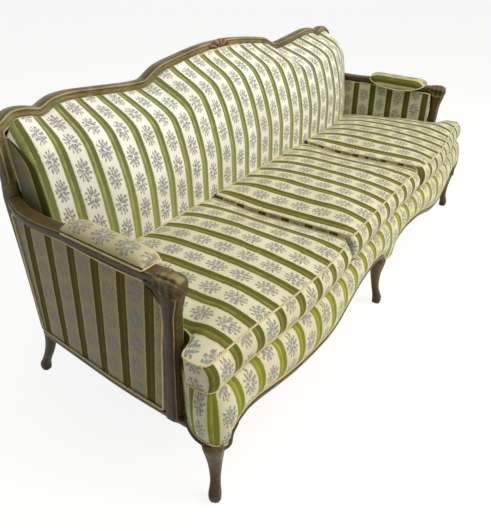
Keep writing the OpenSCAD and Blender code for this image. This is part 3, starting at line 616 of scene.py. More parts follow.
def brocade(name, ground, velvet, velvet_light, fabric, shift=0.0, rise=0.0, painted_highlight_below=0.0):
    """Woven satin brocade with cut velvet stripes. The satin shines softly, the pile is deep and dull, and
    the sprigs are woven in matt threads."""
    gloss = {"Sheen_Weight": 0.12, "Sheen_Roughness": 0.4, "Specular_IOR_Level": 0.16}
    material, tree, shader = start_material(name, 0.5, **gloss)
    if tree is None:
        return material
    shader.inputs["Sheen Tint"].default_value = linear("#e8ecc4")
    uv = put(tree, "UVMap", uv_map="cloth")
    wander = cloudy(tree, uv.outputs[0], 90.0, 1.0)
    pull = put(tree, "VectorMath", wander.outputs["Color"], (0.5, 0.5, 0.5), operation="SUBTRACT")
    pull = put(tree, "VectorMath", pull, operation="SCALE", in_Scale=WANDER)
    place = put(tree, "SeparateXYZ", put(tree, "VectorMath", uv.outputs[0], pull, operation="ADD"))
    # Across the stripes: distance from the middle of the cream band, in metres
    across = maths(tree, "MULTIPLY_ADD", place.outputs[0], 1 / fabric.repeat, shift)
    phase = maths(tree, "SUBTRACT", maths(tree, "FRACT", across), 0.5)
    x = maths(tree, "MULTIPLY", phase, fabric.repeat)
    off = maths(tree, "ABSOLUTE", x)
    band = maths(tree, "MULTIPLY_ADD", maths(tree, "FLOOR", across), 0.5, rise)
    down = maths(tree, "MULTIPLY_ADD", place.outputs[1], 1 / fabric.sprig_spacing, band)
    lift = maths(tree, "SUBTRACT", maths(tree, "FRACT", down), 0.5)
    y = maths(tree, "MULTIPLY", lift, fabric.sprig_spacing)
    edge = (fabric.repeat - fabric.velvet_width) / 2
    pile = spread(tree, off, edge - PILE_EDGE, edge + PILE_EDGE, 0.0, 1.0)
    # Picots along the stripe's edges
    wave = maths(tree, "SINE", maths(tree, "MULTIPLY", place.outputs[1], 2 * math.pi / PICOT_PITCH))
    near = spread(tree, off, edge - PICOT_FAR, edge - PICOT_NEAR, 0.0, 1.0)
    picot = maths(tree, "GREATER_THAN", maths(tree, "MULTIPLY", near, wave), 0.3)
    # Sprig: leaves that ray out of a posy
    loose = cloudy(tree, uv.outputs[0], 75.0, 1.0).outputs["Color"]
    loose = put(tree, "VectorMath", loose, (0.5, 0.5, 0.5), operation="SUBTRACT")
    stray = put(tree, "SeparateXYZ", loose)
    sx = maths(tree, "MULTIPLY_ADD", stray.outputs[0], 0.4, maths(tree, "MULTIPLY", x, 1 / SPRIG_HALF_W))
    sy = maths(tree, "MULTIPLY_ADD", stray.outputs[1], 0.35, maths(tree, "MULTIPLY", y, 1 / SPRIG_HALF_H))
    r = maths(tree, "SQRT", maths(tree, "MULTIPLY_ADD", sx, sx, maths(tree, "MULTIPLY", sy, sy)))
    turn = maths(tree, "ARCTAN2", sy, sx)

    def leaves(count, first, middle, reach, width):
        """A ring of pointed leaves round the posy."""
        cell = maths(tree, "MULTIPLY_ADD", turn, count / (2 * math.pi), first)
        aside = maths(tree, "SUBTRACT", maths(tree, "FRACT", cell), 0.5)
        aside = maths(tree, "MULTIPLY", aside, 1 / width)
        out = maths(tree, "MULTIPLY_ADD", r, 1 / reach, -middle / reach)
        out = maths(tree, "MULTIPLY", out, out)
        far = maths(tree, "MULTIPLY_ADD", aside, aside, out)
        return spread(tree, far, 0.7, 1.15, 1.0, 0.0)

    leaf = leaves(*LEAF_RINGS[0])
    for ring in LEAF_RINGS[1:]:
        leaf = maths(tree, "MAXIMUM", leaf, leaves(*ring))
    speck = put(tree, "TexVoronoi", uv.outputs[0], in_Scale=210.0, in_Randomness=1.0)
    bloom = put(tree, "TexVoronoi", uv.outputs[0], in_Scale=130.0, in_Randomness=0.8)
    petal = spread(tree, bloom.outputs["Distance"], 0.34, 0.5, 1.0, 0.0)
    posy = spread(tree, r, 0.44, 0.62, 0.9, 0.0)
    flower = maths(tree, "MULTIPLY", petal, posy)
    holes = spread(tree, speck.outputs["Distance"], 0.05, 0.4, 0.55, 1.0)
    leaf = maths(tree, "MULTIPLY", leaf, holes)
    # Colours
    soil = cloudy(tree, uv.outputs[0], 7.0)
    cream = blend(tree, spread(tree, soil, 0.35, 0.7, 0.0, 1.0), ground, fabric.shade_of(ground))
    hue = blend(tree, speck.outputs["Color"], fabric.leaf, fabric.leaf_blue)
    stage = blend(tree, maths(tree, "MULTIPLY", leaf, 0.84), cream, hue)
    petals = blend(tree, bloom.outputs["Color"], fabric.flower, fabric.flower_mauve)
    stage = blend(tree, flower, stage, petals)
    stage = blend(tree, picot, stage, fabric.picot)
    # Painted sheen: one flank of each velvet stripe is mixed towards the light velvet colour, and random
    # patches of crushed pile lighten that flank further
    side = spread(tree, x, -0.01, 0.01, 0.0, 0.55)
    crush = cloudy(tree, uv.outputs[0], 26.0, 4.0)
    crushed = spread(tree, crush, 0.42, 0.72, 0.0, 0.75)
    sheen_flank = spread(tree, maths(tree, "MODULO", phase, 0.5), 0.33, 0.5, 0.0, 1.0)
    light = maths(tree, "MULTIPLY_ADD", maths(tree, "ADD", side, crushed), sheen_flank, 0.12)
    # Painted highlight: on the back, the velvet stripes grow paler towards the bottom
    if painted_highlight_below:
        low = spread(tree, place.outputs[1], painted_highlight_below, painted_highlight_below - 0.25, 0.0, 0.55)
        light = maths(tree, "ADD", light, low, use_clamp=True)
    green = blend(tree, light, velvet, velvet_light)
    colour = blend(tree, pile, stage, green)
    rough = spread(tree, pile, 0.0, 1.0, 0.48, 0.9)
    # Relief: pile over satin, raised sprigs and the thread
    weft = waves(tree, uv.outputs[0], THREAD, "Y")
    warp = waves(tree, uv.outputs[0], THREAD, "X")
    thread = maths(tree, "MULTIPLY", maths(tree, "ADD", weft, warp), 0.12)
    raised = maths(tree, "MULTIPLY_ADD", maths(tree, "MAXIMUM", leaf, flower), 0.35, thread)
    height = maths(tree, "MULTIPLY_ADD", pile, 1.0, raised)
    bump = relief(tree, height, 0.5, PILE_H)
    wire(tree, shader, Base_Color=colour, Roughness=rough, Normal=bump)
    return material


# Pitch of the cord's strands, in metres round it and along it
STRAND_ROUND, STRAND_ALONG = 0.0095, 0.007


def gimp_cord(fabric):
    """Twisted rayon cord: a low gloss, with strands that wind round it."""
    material, tree, shader = start_material("twisted_cord", 0.45, Sheen_Weight=0.2)
    if tree is None:
        return material
    uv = put(tree, "UVMap", uv_map="cloth")
    place = put(tree, "SeparateXYZ", uv)
    wind = maths(tree, "MULTIPLY", place.outputs[1], 2 * math.pi / STRAND_ALONG)
    wind = maths(tree, "MULTIPLY_ADD", place.outputs[0], 2 * math.pi / STRAND_ROUND, wind)
    strand = spread(tree, maths(tree, "SINE", wind), -1.0, 1.0, 0.0, 1.0)
    worn = cloudy(tree, uv.outputs[0], 22.0)
    tone = blend(tree, spread(tree, worn, 0.3, 0.75, 0.0, 1.0), fabric.cord, fabric.cord_wear_and_crevice_shade)
    # Painted shade in the grooves between the strands
    colour = blend(tree, strand, fabric.cord_wear_and_crevice_shade, tone)
    bump = relief(tree, strand, 0.8, 0.0012)
    wire(tree, shader, Base_Color=colour, Normal=bump)
    return material


def painted_wood(name, wood, paint, light):
    """Carved beech, painted, gilded on the high parts and rubbed with brown glaze in the hollows. The old
    paint is satin and slightly patchy, and brush marks run along it about 2 mm apart."""
    material, tree, shader = start_material(name, 0.45, Specular_IOR_Level=0.22)
    if tree is None:
        return material
    at = put(tree, "TexCoord").outputs["Object"]
    hollow = put(tree, "Attribute", attribute_name="glaze").outputs["Fac"]
    cloud = cloudy(tree, at, 14.0, 5.0)
    streak = cloudy(tree, put(tree, "Mapping", at, in_Scale=(1.0, 6.0, 6.0)), 38.0)
    rub = spread(tree, streak, 0.38, 0.72, 0.0, 0.8)
    base = blend(tree, rub, paint, light)
    wash = spread(tree, cloud, 0.4, 0.66, 0.0, 0.6)
    base = blend(tree, wash, base, wood.glaze_thin)
    # The glaze value also carries painted shade, on the arm posts' outer faces
    depth = maths(tree, "MULTIPLY", hollow, spread(tree, cloud, 0.3, 0.7, 0.75, 1.1), use_clamp=True)
    colour = blend(tree, depth, base, wood.glaze)
    # Gilding lies where the glaze value is below nothing, and is worn through in places
    gilded = spread(tree, hollow, -0.9, -0.1, 0.85, 0.0)
    left = maths(tree, "MULTIPLY", gilded, spread(tree, cloud, 0.35, 0.6, 1.0, 0.35))
    colour = blend(tree, left, colour, wood.gilt)
    rough = spread(tree, cloud, 0.3, 0.7, 0.34, 0.55)
    bump = relief(tree, streak, 0.15, 0.0006)
    wire(tree, shader, Base_Color=colour, Roughness=rough, Normal=bump)
    return material


def plain_stuff(name, colour, dark, roughness, grain, stretch=(1.0, 1.0, 1.0), **constants):
    """A plain hidden material. Its grain, of a size in metres, may be stretched along one way."""
    material, tree, shader = start_material(name, roughness, **constants)
    if tree is None:
        return material
    at = put(tree, "Mapping", put(tree, "TexCoord").outputs["Object"], in_Scale=stretch)
    veins = cloudy(tree, at, 1 / grain, 4.0)
    tone = blend(tree, spread(tree, veins, 0.35, 0.65, 0.0, 1.0), colour, dark)
    bump = relief(tree, veins, 0.3, 0.0005)
    wire(tree, shader, Base_Color=tone, Normal=bump)
    return material


def sawn_beech():
    return plain_stuff("sawn_beech", "#b8905f", "#99734a", 0.7, 0.012, (0.15, 1.0, 1.0))


def woven_stuff(name, colour, dark, thread):
    """Plain woven lining: matt threads that cross at a spacing in metres."""
    material, tree, shader = start_material(name, 0.95)
    if tree is None:
        return material
    at = put(tree, "TexCoord").outputs["Object"]
    warp = waves(tree, at, thread, "X")
    weft = waves(tree, at, thread, "Y")
    rise = waves(tree, at, thread, "Z")
    cross = maths(tree, "MAXIMUM", maths(tree, "MULTIPLY", warp, weft), rise)
    slub = cloudy(tree, at, 60.0)
    tone = blend(tree, maths(tree, "MULTIPLY", cross, slub), dark, colour)
    bump = relief(tree, cross, 0.5, 0.0006)
    wire(tree, shader, Base_Color=tone, Normal=bump)
    return material


# Sizes and colours that a user would change


def number(name, text, value, **settings):
    return bpy.props.FloatProperty(name=name, description=text, default=value, **settings)


def place_of(name, text, value):
    return bpy.props.FloatVectorProperty(name=name, description=text, default=value, subtype="TRANSLATION")


def size(name, text, value):
    """A length in metres."""
    return number(name, text, value, min=0.0, unit="LENGTH", subtype="DISTANCE")


def hex_colour(name, text, value):
    """A colour as an sRGB hex code."""
    return bpy.props.StringProperty(name=name, description=text, default=value)


class SOFA_PG_fabric(bpy.types.PropertyGroup):
    """Sizes and colours of the brocade and its cord."""

    repeat: size("Stripe repeat", "From one velvet stripe to the next", 0.083)
    velvet_width: size("Velvet width", "Width of a velvet stripe", 0.027)
    sprig_spacing: size("Sprig spacing", "From one sprig to the next along a band", 0.076)
    cord_radius: size("Cord radius", "Radius of the cord on the seams", 0.0027)
    swell: size("Cushion swell", "How far the filling may push a cushion's top", 0.012)
    ground_back: hex_colour("Back ground", "Satin ground on the back", "#eceded")
    # The seat's ground is the cream satin with a painted yellow reflection of the green seat
    ground_seat_painted_reflection: hex_colour("Seat ground", "Satin ground on the seat", "#d3d1bb")
    # The arms' ground is a darker, browner copy of the satin ground: painted shade
    ground_arm_painted_shade: hex_colour("Arm ground", "Satin ground on the arms", "#9c8f70")
    velvet: hex_colour("Velvet", "Velvet stripe in its depth", "#4f521c")
    velvet_light: hex_colour("Velvet light", "Velvet stripe where the pile catches light", "#7f8040")
    leaf: hex_colour("Leaf", "Leaves of the sprigs", "#666c5a")
    leaf_blue: hex_colour("Leaf blue", "Bluer threads in the leaves", "#7d8886")
    flower: hex_colour("Flower", "Flowers of the sprigs", "#878eaa")
    flower_mauve: hex_colour("Mauve flower", "Redder threads in the flowers", "#8d7e90")
    picot: hex_colour("Picot", "Picots along the stripes", "#b9bc72")
    cord: hex_colour("Cord", "Cord on the seams", "#e6deb4")
    # The cord's darker colour serves both its worn patches and painted shade between its strands
    cord_wear_and_crevice_shade: hex_colour("Cord shade", "Cord between its strands", "#b5a670")

    def shade_of(self, code):
        """A slightly darker, yellower version of a ground colour."""
        v = [int(code[i : i + 2], 16) for i in (1, 3, 5)]
        return "#%02x%02x%02x" % tuple(int(c * s) for c, s in zip(v, (0.93, 0.925, 0.87)))


class SOFA_PG_wood(bpy.types.PropertyGroup):
    """Colours of the show-wood and depth of its moulding."""

    bead: size("Bead depth", "Depth of the grooves beside the beads", 0.0036)
    carving: size("Carving depth", "Depth of the leaf carving on the knuckles", 0.0034)
    paint: hex_colour("Paint", "Olive paint", "#5c5233")
    paint_light: hex_colour("Rubbed paint", "Olive paint where it is rubbed", "#82774d")
    # The glaze colour also paints shade on the arm posts' outer faces
    glaze: hex_colour("Glaze", "Brown glaze in the hollows", "#2a1c0e")
    glaze_thin: hex_colour("Thin glaze", "Brown glaze over flat parts", "#54432a")
    gilt: hex_colour("Gilt", "Gilding on the edges", "#c9b57a")
    # The crest and the back posts take a paler copy of the olive paint: painted light
    crest_paint_painted_light: hex_colour("Crest paint", "Paler paint on the crest", "#7c734b")
    crest_rubbed_painted_light: hex_colour("Rubbed crest paint", "Paler paint where it is rubbed", "#a1986c")
    # The arm rails, brackets and arm posts take a darker, browner copy of the olive paint: painted shade
    arm_paint_painted_shade: hex_colour("Arm paint", "Browner paint on the arms", "#45391e")
    arm_rubbed_painted_shade: hex_colour("Rubbed arm paint", "Browner paint where it is rubbed", "#6e613b")
    # The legs take a darker copy of the olive paint: painted shade
    leg_paint_painted_shade: hex_colour("Leg paint", "Darker paint on the legs", "#5a4c2e")
    copper: hex_colour("Copper", "Copper paint on the carving", "#94664c")


class SOFA_PG_stage(bpy.types.PropertyGroup):
    """Floor, lamps and camera."""

    floor: hex_colour("Floor", "Colour of the floor", "#f4f4f2")
    key_power: number("Key lamp", "Power of the main lamp", 138.0, unit="POWER")
    fill_power: number("Fill lamp", "Power of the lamp on the left", 5.0, unit="POWER")
    room: number("Room light", "Strength of the light from all round", 0.22)
    camera_place: place_of("Camera", "Where the camera stands", (-1.6067, -0.8389, 1.1783))
    camera_aim: place_of("Aim", "A point the camera looks at", (-1.3375, -0.6589, 0.9742))
    camera_roll: number("Roll", "Roll of the camera in degrees", -0.514)
    focal_px: number("Focal length", "Focal length in pixels of the photograph", 511.4)


# Pieces of show-wood


CREST_PROFILE = [  # (front to back, down to up, glaze or gilding) as shares of the half sizes
    (-0.80, -1.0, 0.3), (-0.97, -0.94, -0.4), (-1.03, -0.78, -0.9), (-1.0, -0.6, -0.2), (-0.84, -0.5, 0.8),
    (-0.82, -0.36, 0.3), (-0.78, -0.1, 0.0), (-0.78, 0.15, 0.0), (-0.83, 0.36, 0.1), (-0.85, 0.46, 0.8),
    (-0.97, 0.56, -0.2), (-1.02, 0.72, -0.8), (-0.96, 0.9, -0.1), (-0.8, 1.0, 0.8), (-0.6, 1.0, 0.9),
    (-0.3, 1.04, 0.6), (0.1, 1.05, 0.45), (0.5, 1.0, 0.5), (0.86, 0.9, 0.6), (1.0, 0.6, 0.5),
    (1.0, 0.0, 0.4), (1.0, -0.6, 0.5), (0.85, -0.95, 0.8), (0.3, -1.0, 0.9), (-0.4, -1.0, 0.7),
]


def crest_path():
    """Middle line of the crest from stile to stile, with its half height."""
    end = 0.978 * EAR_X
    half = [(x, crest_line(x)) for x in np.linspace(0, end, 130)]
    last = crest_line(end)
    half += [(EAR_X - 1, mix(EAR_Z, last, 0.62)), (EAR_X, EAR_Z + 6)]
    half += [(stile_x(z), z) for z in np.arange(EAR_Z - 4, 655, -8)]
    right = np.array([(x, CREST_Y if z > EAR_Z else post_lean_y(z), z) for x, z in half])
    left = right[1:][::-1] * [-1, 1, 1]
    path = smooth_path(even_path(np.concatenate([left, right]), 7), 2)
    growth = ease((path[:, 2] - EAR_Z + 40) / 40)
    return path, mix(stile_half(path[:, 2]), CREST_T / 2, growth)


class SOFA_OT_crest(bpy.types.Operator):
    """Crest rail with two beads and a cove, running down into the stiles"""

    bl_idname = "sofa.crest"
    bl_label = "Crest rail"

    def execute(self, context):
        wood = context.scene.sofa_wood
        # The crest takes the paler copy of the paint: painted light
        paint = painted_wood("crest_paint_painted_light", wood, wood.crest_paint_painted_light, wood.crest_rubbed_painted_light)
        path, h = crest_path()
        _, side, up = path_frames(path, (0, 1, 0))
        prof = np.array(CREST_PROFILE)
        deep = side[:, None] * (prof[None, :, 0:1] * CREST_D / 2)
        tall = up[:, None] * (prof[None, :, 1:2] * h[:, None, None])
        points, faces = closed_rings(path[:, None] + deep + tall)
        glaze = np.concatenate([np.tile(prof[:, 2], len(path)), [0.5, 0.5]])
        make_piece("crest_moulded", points, faces, paint, WOOD, glaze=glaze, stands_for=["crest_rail"])
        return {"FINISHED"}


SHELL_HALF_W = 59
SHELL_D = 10
SHELL_H = 38


class SOFA_OT_carving(bpy.types.Operator):
    """Leafy shell carved at the middle of the crest"""

    bl_idname = "sofa.carving"
    bl_label = "Crest carving"

    def execute(self, context):
        wood = context.scene.sofa_wood
        copper = painted_wood("copper_painted_carving", wood, wood.copper, "#b48a6c")
        rings, glaze = [], []
        for t in np.sin(np.linspace(-1.45, 1.45, 61)):
            w = math.sqrt(max(1 - t * t, 0.02))
            ring = []
            for q in np.linspace(0, 1, 18):
                a = math.pi * q
                d, h = math.sin(a) ** 0.8, 0.5 * math.cos(a) * 0.72 + 0.16
                rib = math.cos(9 * math.atan2(h + 0.35, t * 1.4 + 1e-6))
                d *= 0.78 + 0.22 * rib
                h *= 1 + 0.12 * math.cos(7 * math.pi * t)
                y = CREST_Y - CREST_D / 2 + 1 - SHELL_D * d * w
                ring.append((t * SHELL_HALF_W, y, CREST_H - CREST_T / 2 + SHELL_H * h * w))
                glaze.append(0.55 - 0.5 * rib)
            rings.append(ring)
        points, faces = closed_rings(rings)
        glaze += [0.5, 0.5]
        node = "crest_carving"
        make_piece("shell_carved", points, faces, copper, "carved_wood", glaze=glaze, stands_for=[node])
        return {"FINISHED"}


# From the foot up: share of the height, kick, then shares of the foot's swell and the knee's
LEG_SHARES = [
    (0, 1, 0.7, 0), (0.06, 1.05, 1.05, 0), (0.13, 1, 1, 0), (0.21, 0.72, 0.4, 0), (0.33, 0.34, 0, 0),
    (0.47, 0.12, 0, 0.12), (0.64, -0.02, 0, 0.34), (0.8, -0.04, 0, 0.64), (0.92, 0, 0, 0.9), (1, 0, 0, 1),
]
# From the foot up: share of the height, rake and girth
REAR_LEG_SHARES = [
    (0, 1, 0.85), (0.06, 1, 1), (0.14, 0.95, 0.98), (0.26, 0.74, 0.86), (0.45, 0.42, 0.9), (0.65, 0.17, 0.98),
    (0.83, 0.03, 1.05), (1, 0, 1.05),
]


ANKLE_R = 13
FOOT_SWELL = 3
KNEE_SWELL = 15
KNEE_TOP_R = 26
REAR_LEG_R = 16
CORNER_KNEE_IN = 21
CENTRE_KNEE_IN = 24
CORNER_BLOCK_IN, CORNER_BLOCK_OUT = -912, -984
CORNER_BLOCK_Y = -290
CORNER_BLOCK_INSET = 12


def cabriole_leg(knee, out):
    """Rings of a cabriole leg with a carved knee, and their glaze."""
    n = 28
    ahead, aside = [out[0], out[1], 0], [-out[1], out[0], 0]
    rings, glaze = [], []
    for s in np.linspace(0, 1, 46):
        kick, foot, girth = (float(along(column(LEG_SHARES, k), s)) for k in (1, 2, 3))
        w = ANKLE_R + FOOT_SWELL * foot + KNEE_SWELL * girth
        z = mix(GLIDE_H, LEG_H, s)
        c = [knee[0] + out[0] * FOOT_KICK * kick, knee[1] + out[1] * FOOT_KICK * kick, z]
        ring = soft_ring(c, ahead, aside, w, w, n, 0.8)
        a = turns(n)
        ribs = np.maximum(0, np.cos(a)) ** 2 * ease((s - 0.62) / 0.3)
        move = ribs * (1.3 * math.cos(s * 150) + 0.8) + 1.2 * ribs * np.cos(6 * a)
        ring[:, :2] += (ring[:, :2] - np.array(c[:2])) * (move / w)[:, None]
        rings.append(ring)
        glaze += list(np.clip(0.75 - 0.75 * s + 0.35 * ribs * (1 - math.cos(s * 150)), 0, 1))
    for z in (LEG_H + 3, LEG_H + 6):
        rings.append(soft_ring([knee[0], knee[1], z], ahead, aside, KNEE_TOP_R, KNEE_TOP_R, n, 0.8))
        glaze += [0.4] * n
    return rings, glaze + [0.8, 0.3]


class SOFA_OT_legs(bpy.types.Operator):
    """Cabriole front legs, rear legs and back posts"""

    bl_idname = "sofa.legs"
    bl_label = "Legs and posts"

    def execute(self, context):
        wood = context.scene.sofa_wood
        # Darker copy of the paint for the legs: painted shade
        paint = painted_wood("leg_paint_painted_shade", wood, wood.leg_paint_painted_shade, wood.paint_light)
        corner_y = float(front_line(CORNER_X))
        out = np.array([-0.93, -0.37]) / math.hypot(0.93, 0.37)
        rings, glaze = cabriole_leg((-KNEE_X, corner_y + CORNER_KNEE_IN), out)
        make_pair("cabriole_leg", closed_rings(rings), paint, WOOD, "front_leg", glaze=glaze)
        middle = np.array([-CORNER_X + CORNER_R, corner_y + CORNER_R])
        plan = arc(middle, CORNER_R - CORNER_BLOCK_INSET, 180, 270, 9)
        beside_rail = np.linspace(-950, CORNER_BLOCK_IN, 4)
        plan += [(x, float(front_line(x)) + CORNER_BLOCK_INSET) for x in beside_rail]
        plan += [(CORNER_BLOCK_IN, CORNER_BLOCK_Y), (CORNER_BLOCK_OUT, CORNER_BLOCK_Y)]
        centre = np.mean(plan, 0)
        levels = [(LEG_H - 2, 0.97), (LEG_H, 1), (RAIL_TOP - 2, 1), (RAIL_TOP, 0.97)]
        block = [[(*(centre + (np.array(q) - centre) * k), z) for q in plan] for z, k in levels]
        make_pair("corner_post", closed_rings(block), sawn_beech(), "frame_wood")
        centre_y = float(front_line(0)) + CENTRE_KNEE_IN
        rings, glaze = cabriole_leg((0, centre_y), (0, -1))
        points, faces = closed_rings(rings)
        node = "front_leg_centre"
        make_piece("cabriole_leg_middle", points, faces, paint, WOOD, glaze=glaze, stands_for=[node])
        rings, glaze = [], []
        for s in np.linspace(0, 1, 36):
            rake, girth = (float(along(column(REAR_LEG_SHARES, k), s)) for k in (1, 2))
            w = REAR_LEG_R * girth
            z = mix(GLIDE_H, SHOW_BOTTOM - CLEARANCE, s)
            c = [-POST_X - REAR_SPLAY * rake, POST_Y + REAR_RAKE * rake, z]
            rings.append(soft_ring(c, X_WAY, Y_WAY, w, w, 24, 0.8))
            glaze += [0.85 - 0.3 * s] * 24
        make_pair("raked_leg", closed_rings(rings), paint, WOOD, "rear_leg", glaze=glaze + [0.8, 0.3])
        rings, glaze = [], []
        for z in [*np.linspace(SHOW_BOTTOM, ARM_JOINT_Z, 16), *np.linspace(620, EAR_Z - CLEARANCE, 22)]:
            deep = mix(POST_T, CREST_D, ease((z - RAIL_TOP) / (EAR_Z - RAIL_TOP))) / 2
            c = [-stile_x(z), post_lean_y(z), z]
            rings.append(soft_ring(c, X_WAY, Y_WAY, stile_half(z), deep, 28, 0.45))
            glaze += [0.75 - 0.3 * float(ease((z - 560) / 120))] * 28
        # The back posts take the crest's paler paint: painted light
        post = painted_wood("crest_paint_painted_light", wood, wood.crest_paint_painted_light, wood.crest_rubbed_painted_light)
        rings = np.array(rings)
        rings[22:] += (rings[22:].mean(1, keepdims=True) - rings[22:]) * 0.12
        make_pair("post", closed_rings(rings), post, WOOD, "back_post", glaze=glaze + [0.5, 0.5])
        return {"FINISHED"}


def arm_rail_rings(wood):
    """Rings of the left arm rail: a moulded shaft and a knuckle carved with acanthus leaves."""
    n = 40
    a = turns(n)
    rings, glaze = [], []
    for s in [*np.linspace(0, 0.13, 40), *np.linspace(0.14, 1, 74)]:
        r = [float(along(column(ARM_SHARES, k), s)) for k in (1, 2, 3, 4)]
        c = [-ARM_X - RAIL_W * r[0], arm_y(s), ARM_H + RAIL_T * (r[1] - r[2] / 2)]
        w, h = RAIL_W * r[3] / 2, RAIL_T * r[2] / 2
        ring = soft_ring(c, OUT_WAY, Z_WAY, w, h, n, 0.5)
        knuckle = float(1 - ease((s - 0.09) / 0.06)) * float(ease(s / 0.012))
        turn = a - 0.5 * math.pi
        vein = np.abs(np.cos(4.5 * turn + 14 * s))
        leaf = np.tanh(3 * (np.abs(np.cos(3 * turn)) - 0.35 - 0.25 * np.cos(190 * s)))
        leaf = leaf * 0.7 + 0.5 * vein - 0.2
        beads = lines_at(a, (32, 148, 212, 328), 0.09)
        move = knuckle * wood.carving * 1000 * leaf - (1 - knuckle) * wood.bead * 1000 * 0.6 * beads
        rings.append(ring + outward(ring, c) * move[:, None])
        ridge = lines_at(a, (50, 130), 0.16)
        shaft = 0.35 + 0.6 * beads - 0.9 * ridge
        glaze += list(np.clip(knuckle * (0.4 - 1.0 * leaf) + (1 - knuckle) * shaft, -1, 1))
    return rings, glaze + [0.8, 0.5]


class SOFA_OT_arm_frames(bpy.types.Operator):
    """Arm rails with carved knuckles, and the serpentine arm posts"""

    bl_idname = "sofa.arm_frames"
    bl_label = "Arm rails and posts"

    def execute(self, context):
        wood = context.scene.sofa_wood
        # Darker copy of the paint for the arms: painted shade
        paint = painted_wood("arm_paint_painted_shade", wood, wood.arm_paint_painted_shade, wood.arm_rubbed_painted_shade)
        rings, glaze = arm_rail_rings(wood)
        make_pair("moulded_arm", closed_rings(rings), paint, WOOD, "arm_rail", glaze=glaze)
        n = 36
        a = turns(n)
        rings, glaze = [], []
        for z in np.linspace(SHOW_BOTTOM + 2, ARM_POST_TOP + 32, 76):
            zc = min(z, ARM_POST_TOP)
            y0, y1 = float(arm_post_front(zc)), float(arm_post_rear(zc))
            c = [float(arm_post_x(zc)), (y0 + y1) / 2, z]
            tuck = float(ease((z - ARM_POST_TOP - 12) / 20))
            ring = soft_ring(c, X_WAY, Y_WAY, POST_HALF_W - 4 * tuck, (y1 - y0) / 2 - 2 * tuck, n, 0.5)
            beads = lines_at(a, (243, 300, 203), 0.13)
            ridge = lines_at(a, (226, 314), 0.12)
            rings.append(ring - outward(ring, c) * (wood.bead * 1000 * 0.7 * beads)[:, None])
            # Painted shade: the post's outer face takes more of the glaze colour
            outer = np.maximum(0, -np.cos(a)) ** 2
            glaze += list(np.clip(0.05 + 0.6 * outer + 0.8 * beads - 1.3 * ridge, -1, 1))
        bend = arc((BRACKET_Y, BRACKET_Z), BRACKET_R, 180, 90, 14)
        flat = [(BRACKET_FRONT_Y, 531), *bend, (BRACKET_Y, BRACKET_TOP), (BRACKET_FRONT_Y, BRACKET_TOP)]
        y0, z0 = BRACKET_MIDDLE
        slices = [(-985, 0.9), (-984, 1), (-966, 1), (-965, 0.97)]
        fillet = [[(x, mix(y0, y, k), mix(z0, z, k)) for y, z in flat] for x, k in slices]
        bracket = closed_rings(fillet)
        make_pair("arm_bracket", bracket, paint, WOOD, glaze=[0.5] * len(bracket[0]))
        make_pair("serpentine_post", closed_rings(rings), paint, WOOD, "arm_post", glaze=glaze + [0.5, 0.5])
        return {"FINISHED"}


class SOFA_OT_mouldings(bpy.types.Operator):
    """Show-wood mouldings under the apron and along the sides"""

    bl_idname = "sofa.mouldings"
    bl_label = "Mouldings"

    def execute(self, context):
        wood = context.scene.sofa_wood
        paint = painted_wood("painted_beech", wood, wood.paint, wood.paint_light)
        shape = [  # (front to back, up, glaze)
            (1, 0.0, 0.9), (1, 0.5, 0.7), (1, 1, 0.6), (0.5, 1, 0.5), (0.2, 1, 0.8), (0.1, 0.9, 0.9),
            (0.02, 0.78, 0.1), (0.0, 0.62, 0.0), (0.05, 0.48, 0.2), (0.14, 0.4, 1.0), (0.16, 0.25, 0.4),
            (0.24, 0.1, 0.3), (0.42, 0.0, 0.8),
        ]
        rings, glaze = [], []
        for x in np.arange(-KNEE_X + 28, -27, 6.0):
            top, y = float(apron_edge(x)) - CLEARANCE, float(front_line(x)) - 14
            rings.append([(x, y + MOULDING_D * q[0], top - MOULDING_H * (1 - q[1])) for q in shape])
            glaze += [q[2] for q in shape]
        glaze += [0.6, 0.6]
        make_pair("apron_moulding", closed_rings(rings), paint, WOOD, "front_moulding", glaze=glaze)
        rings, glaze = [], []
        n = 20
        start, end = SIDE_FRONT_Y, POST_FRONT_Y - CLEARANCE
        reach = end - float(arm_post_rear(PANEL_BOTTOM))
        for y in np.linspace(start, end, 60):
            u = min(max(1 - (end - y) / reach, 0), 1)
            x = outer_arm_at(u, 0) + STRIP_HALF_W - OUTER_ARM_T
            c = [x, y, SHOW_BOTTOM + STRIP_HALF_H]
            rings.append(soft_ring(c, OUT_WAY, Z_WAY, STRIP_HALF_W, STRIP_HALF_H, n, 0.5))
            glaze += list(np.clip(0.7 - 0.5 * np.cos(turns(n)) ** 4, 0, 1))
        glaze += [0.6, 0.6]
        make_pair("side_strip", closed_rings(rings), paint, WOOD, "side_moulding", glaze=glaze)
        return {"FINISHED"}


# Pieces of fabric


APRON_STRIPE_X = 942
APRON_CORNER_RUN = 960
STRIPE_PITCH = 83
# Swell of the apron up its height, as shares
APRON_PROFILE = [
    (0, 0.36), (0.02, 0.42), (0.14, 0.72), (0.36, 1), (0.6, 0.95), (0.82, 0.62), (0.95, 0.16), (1, -0.3),
]


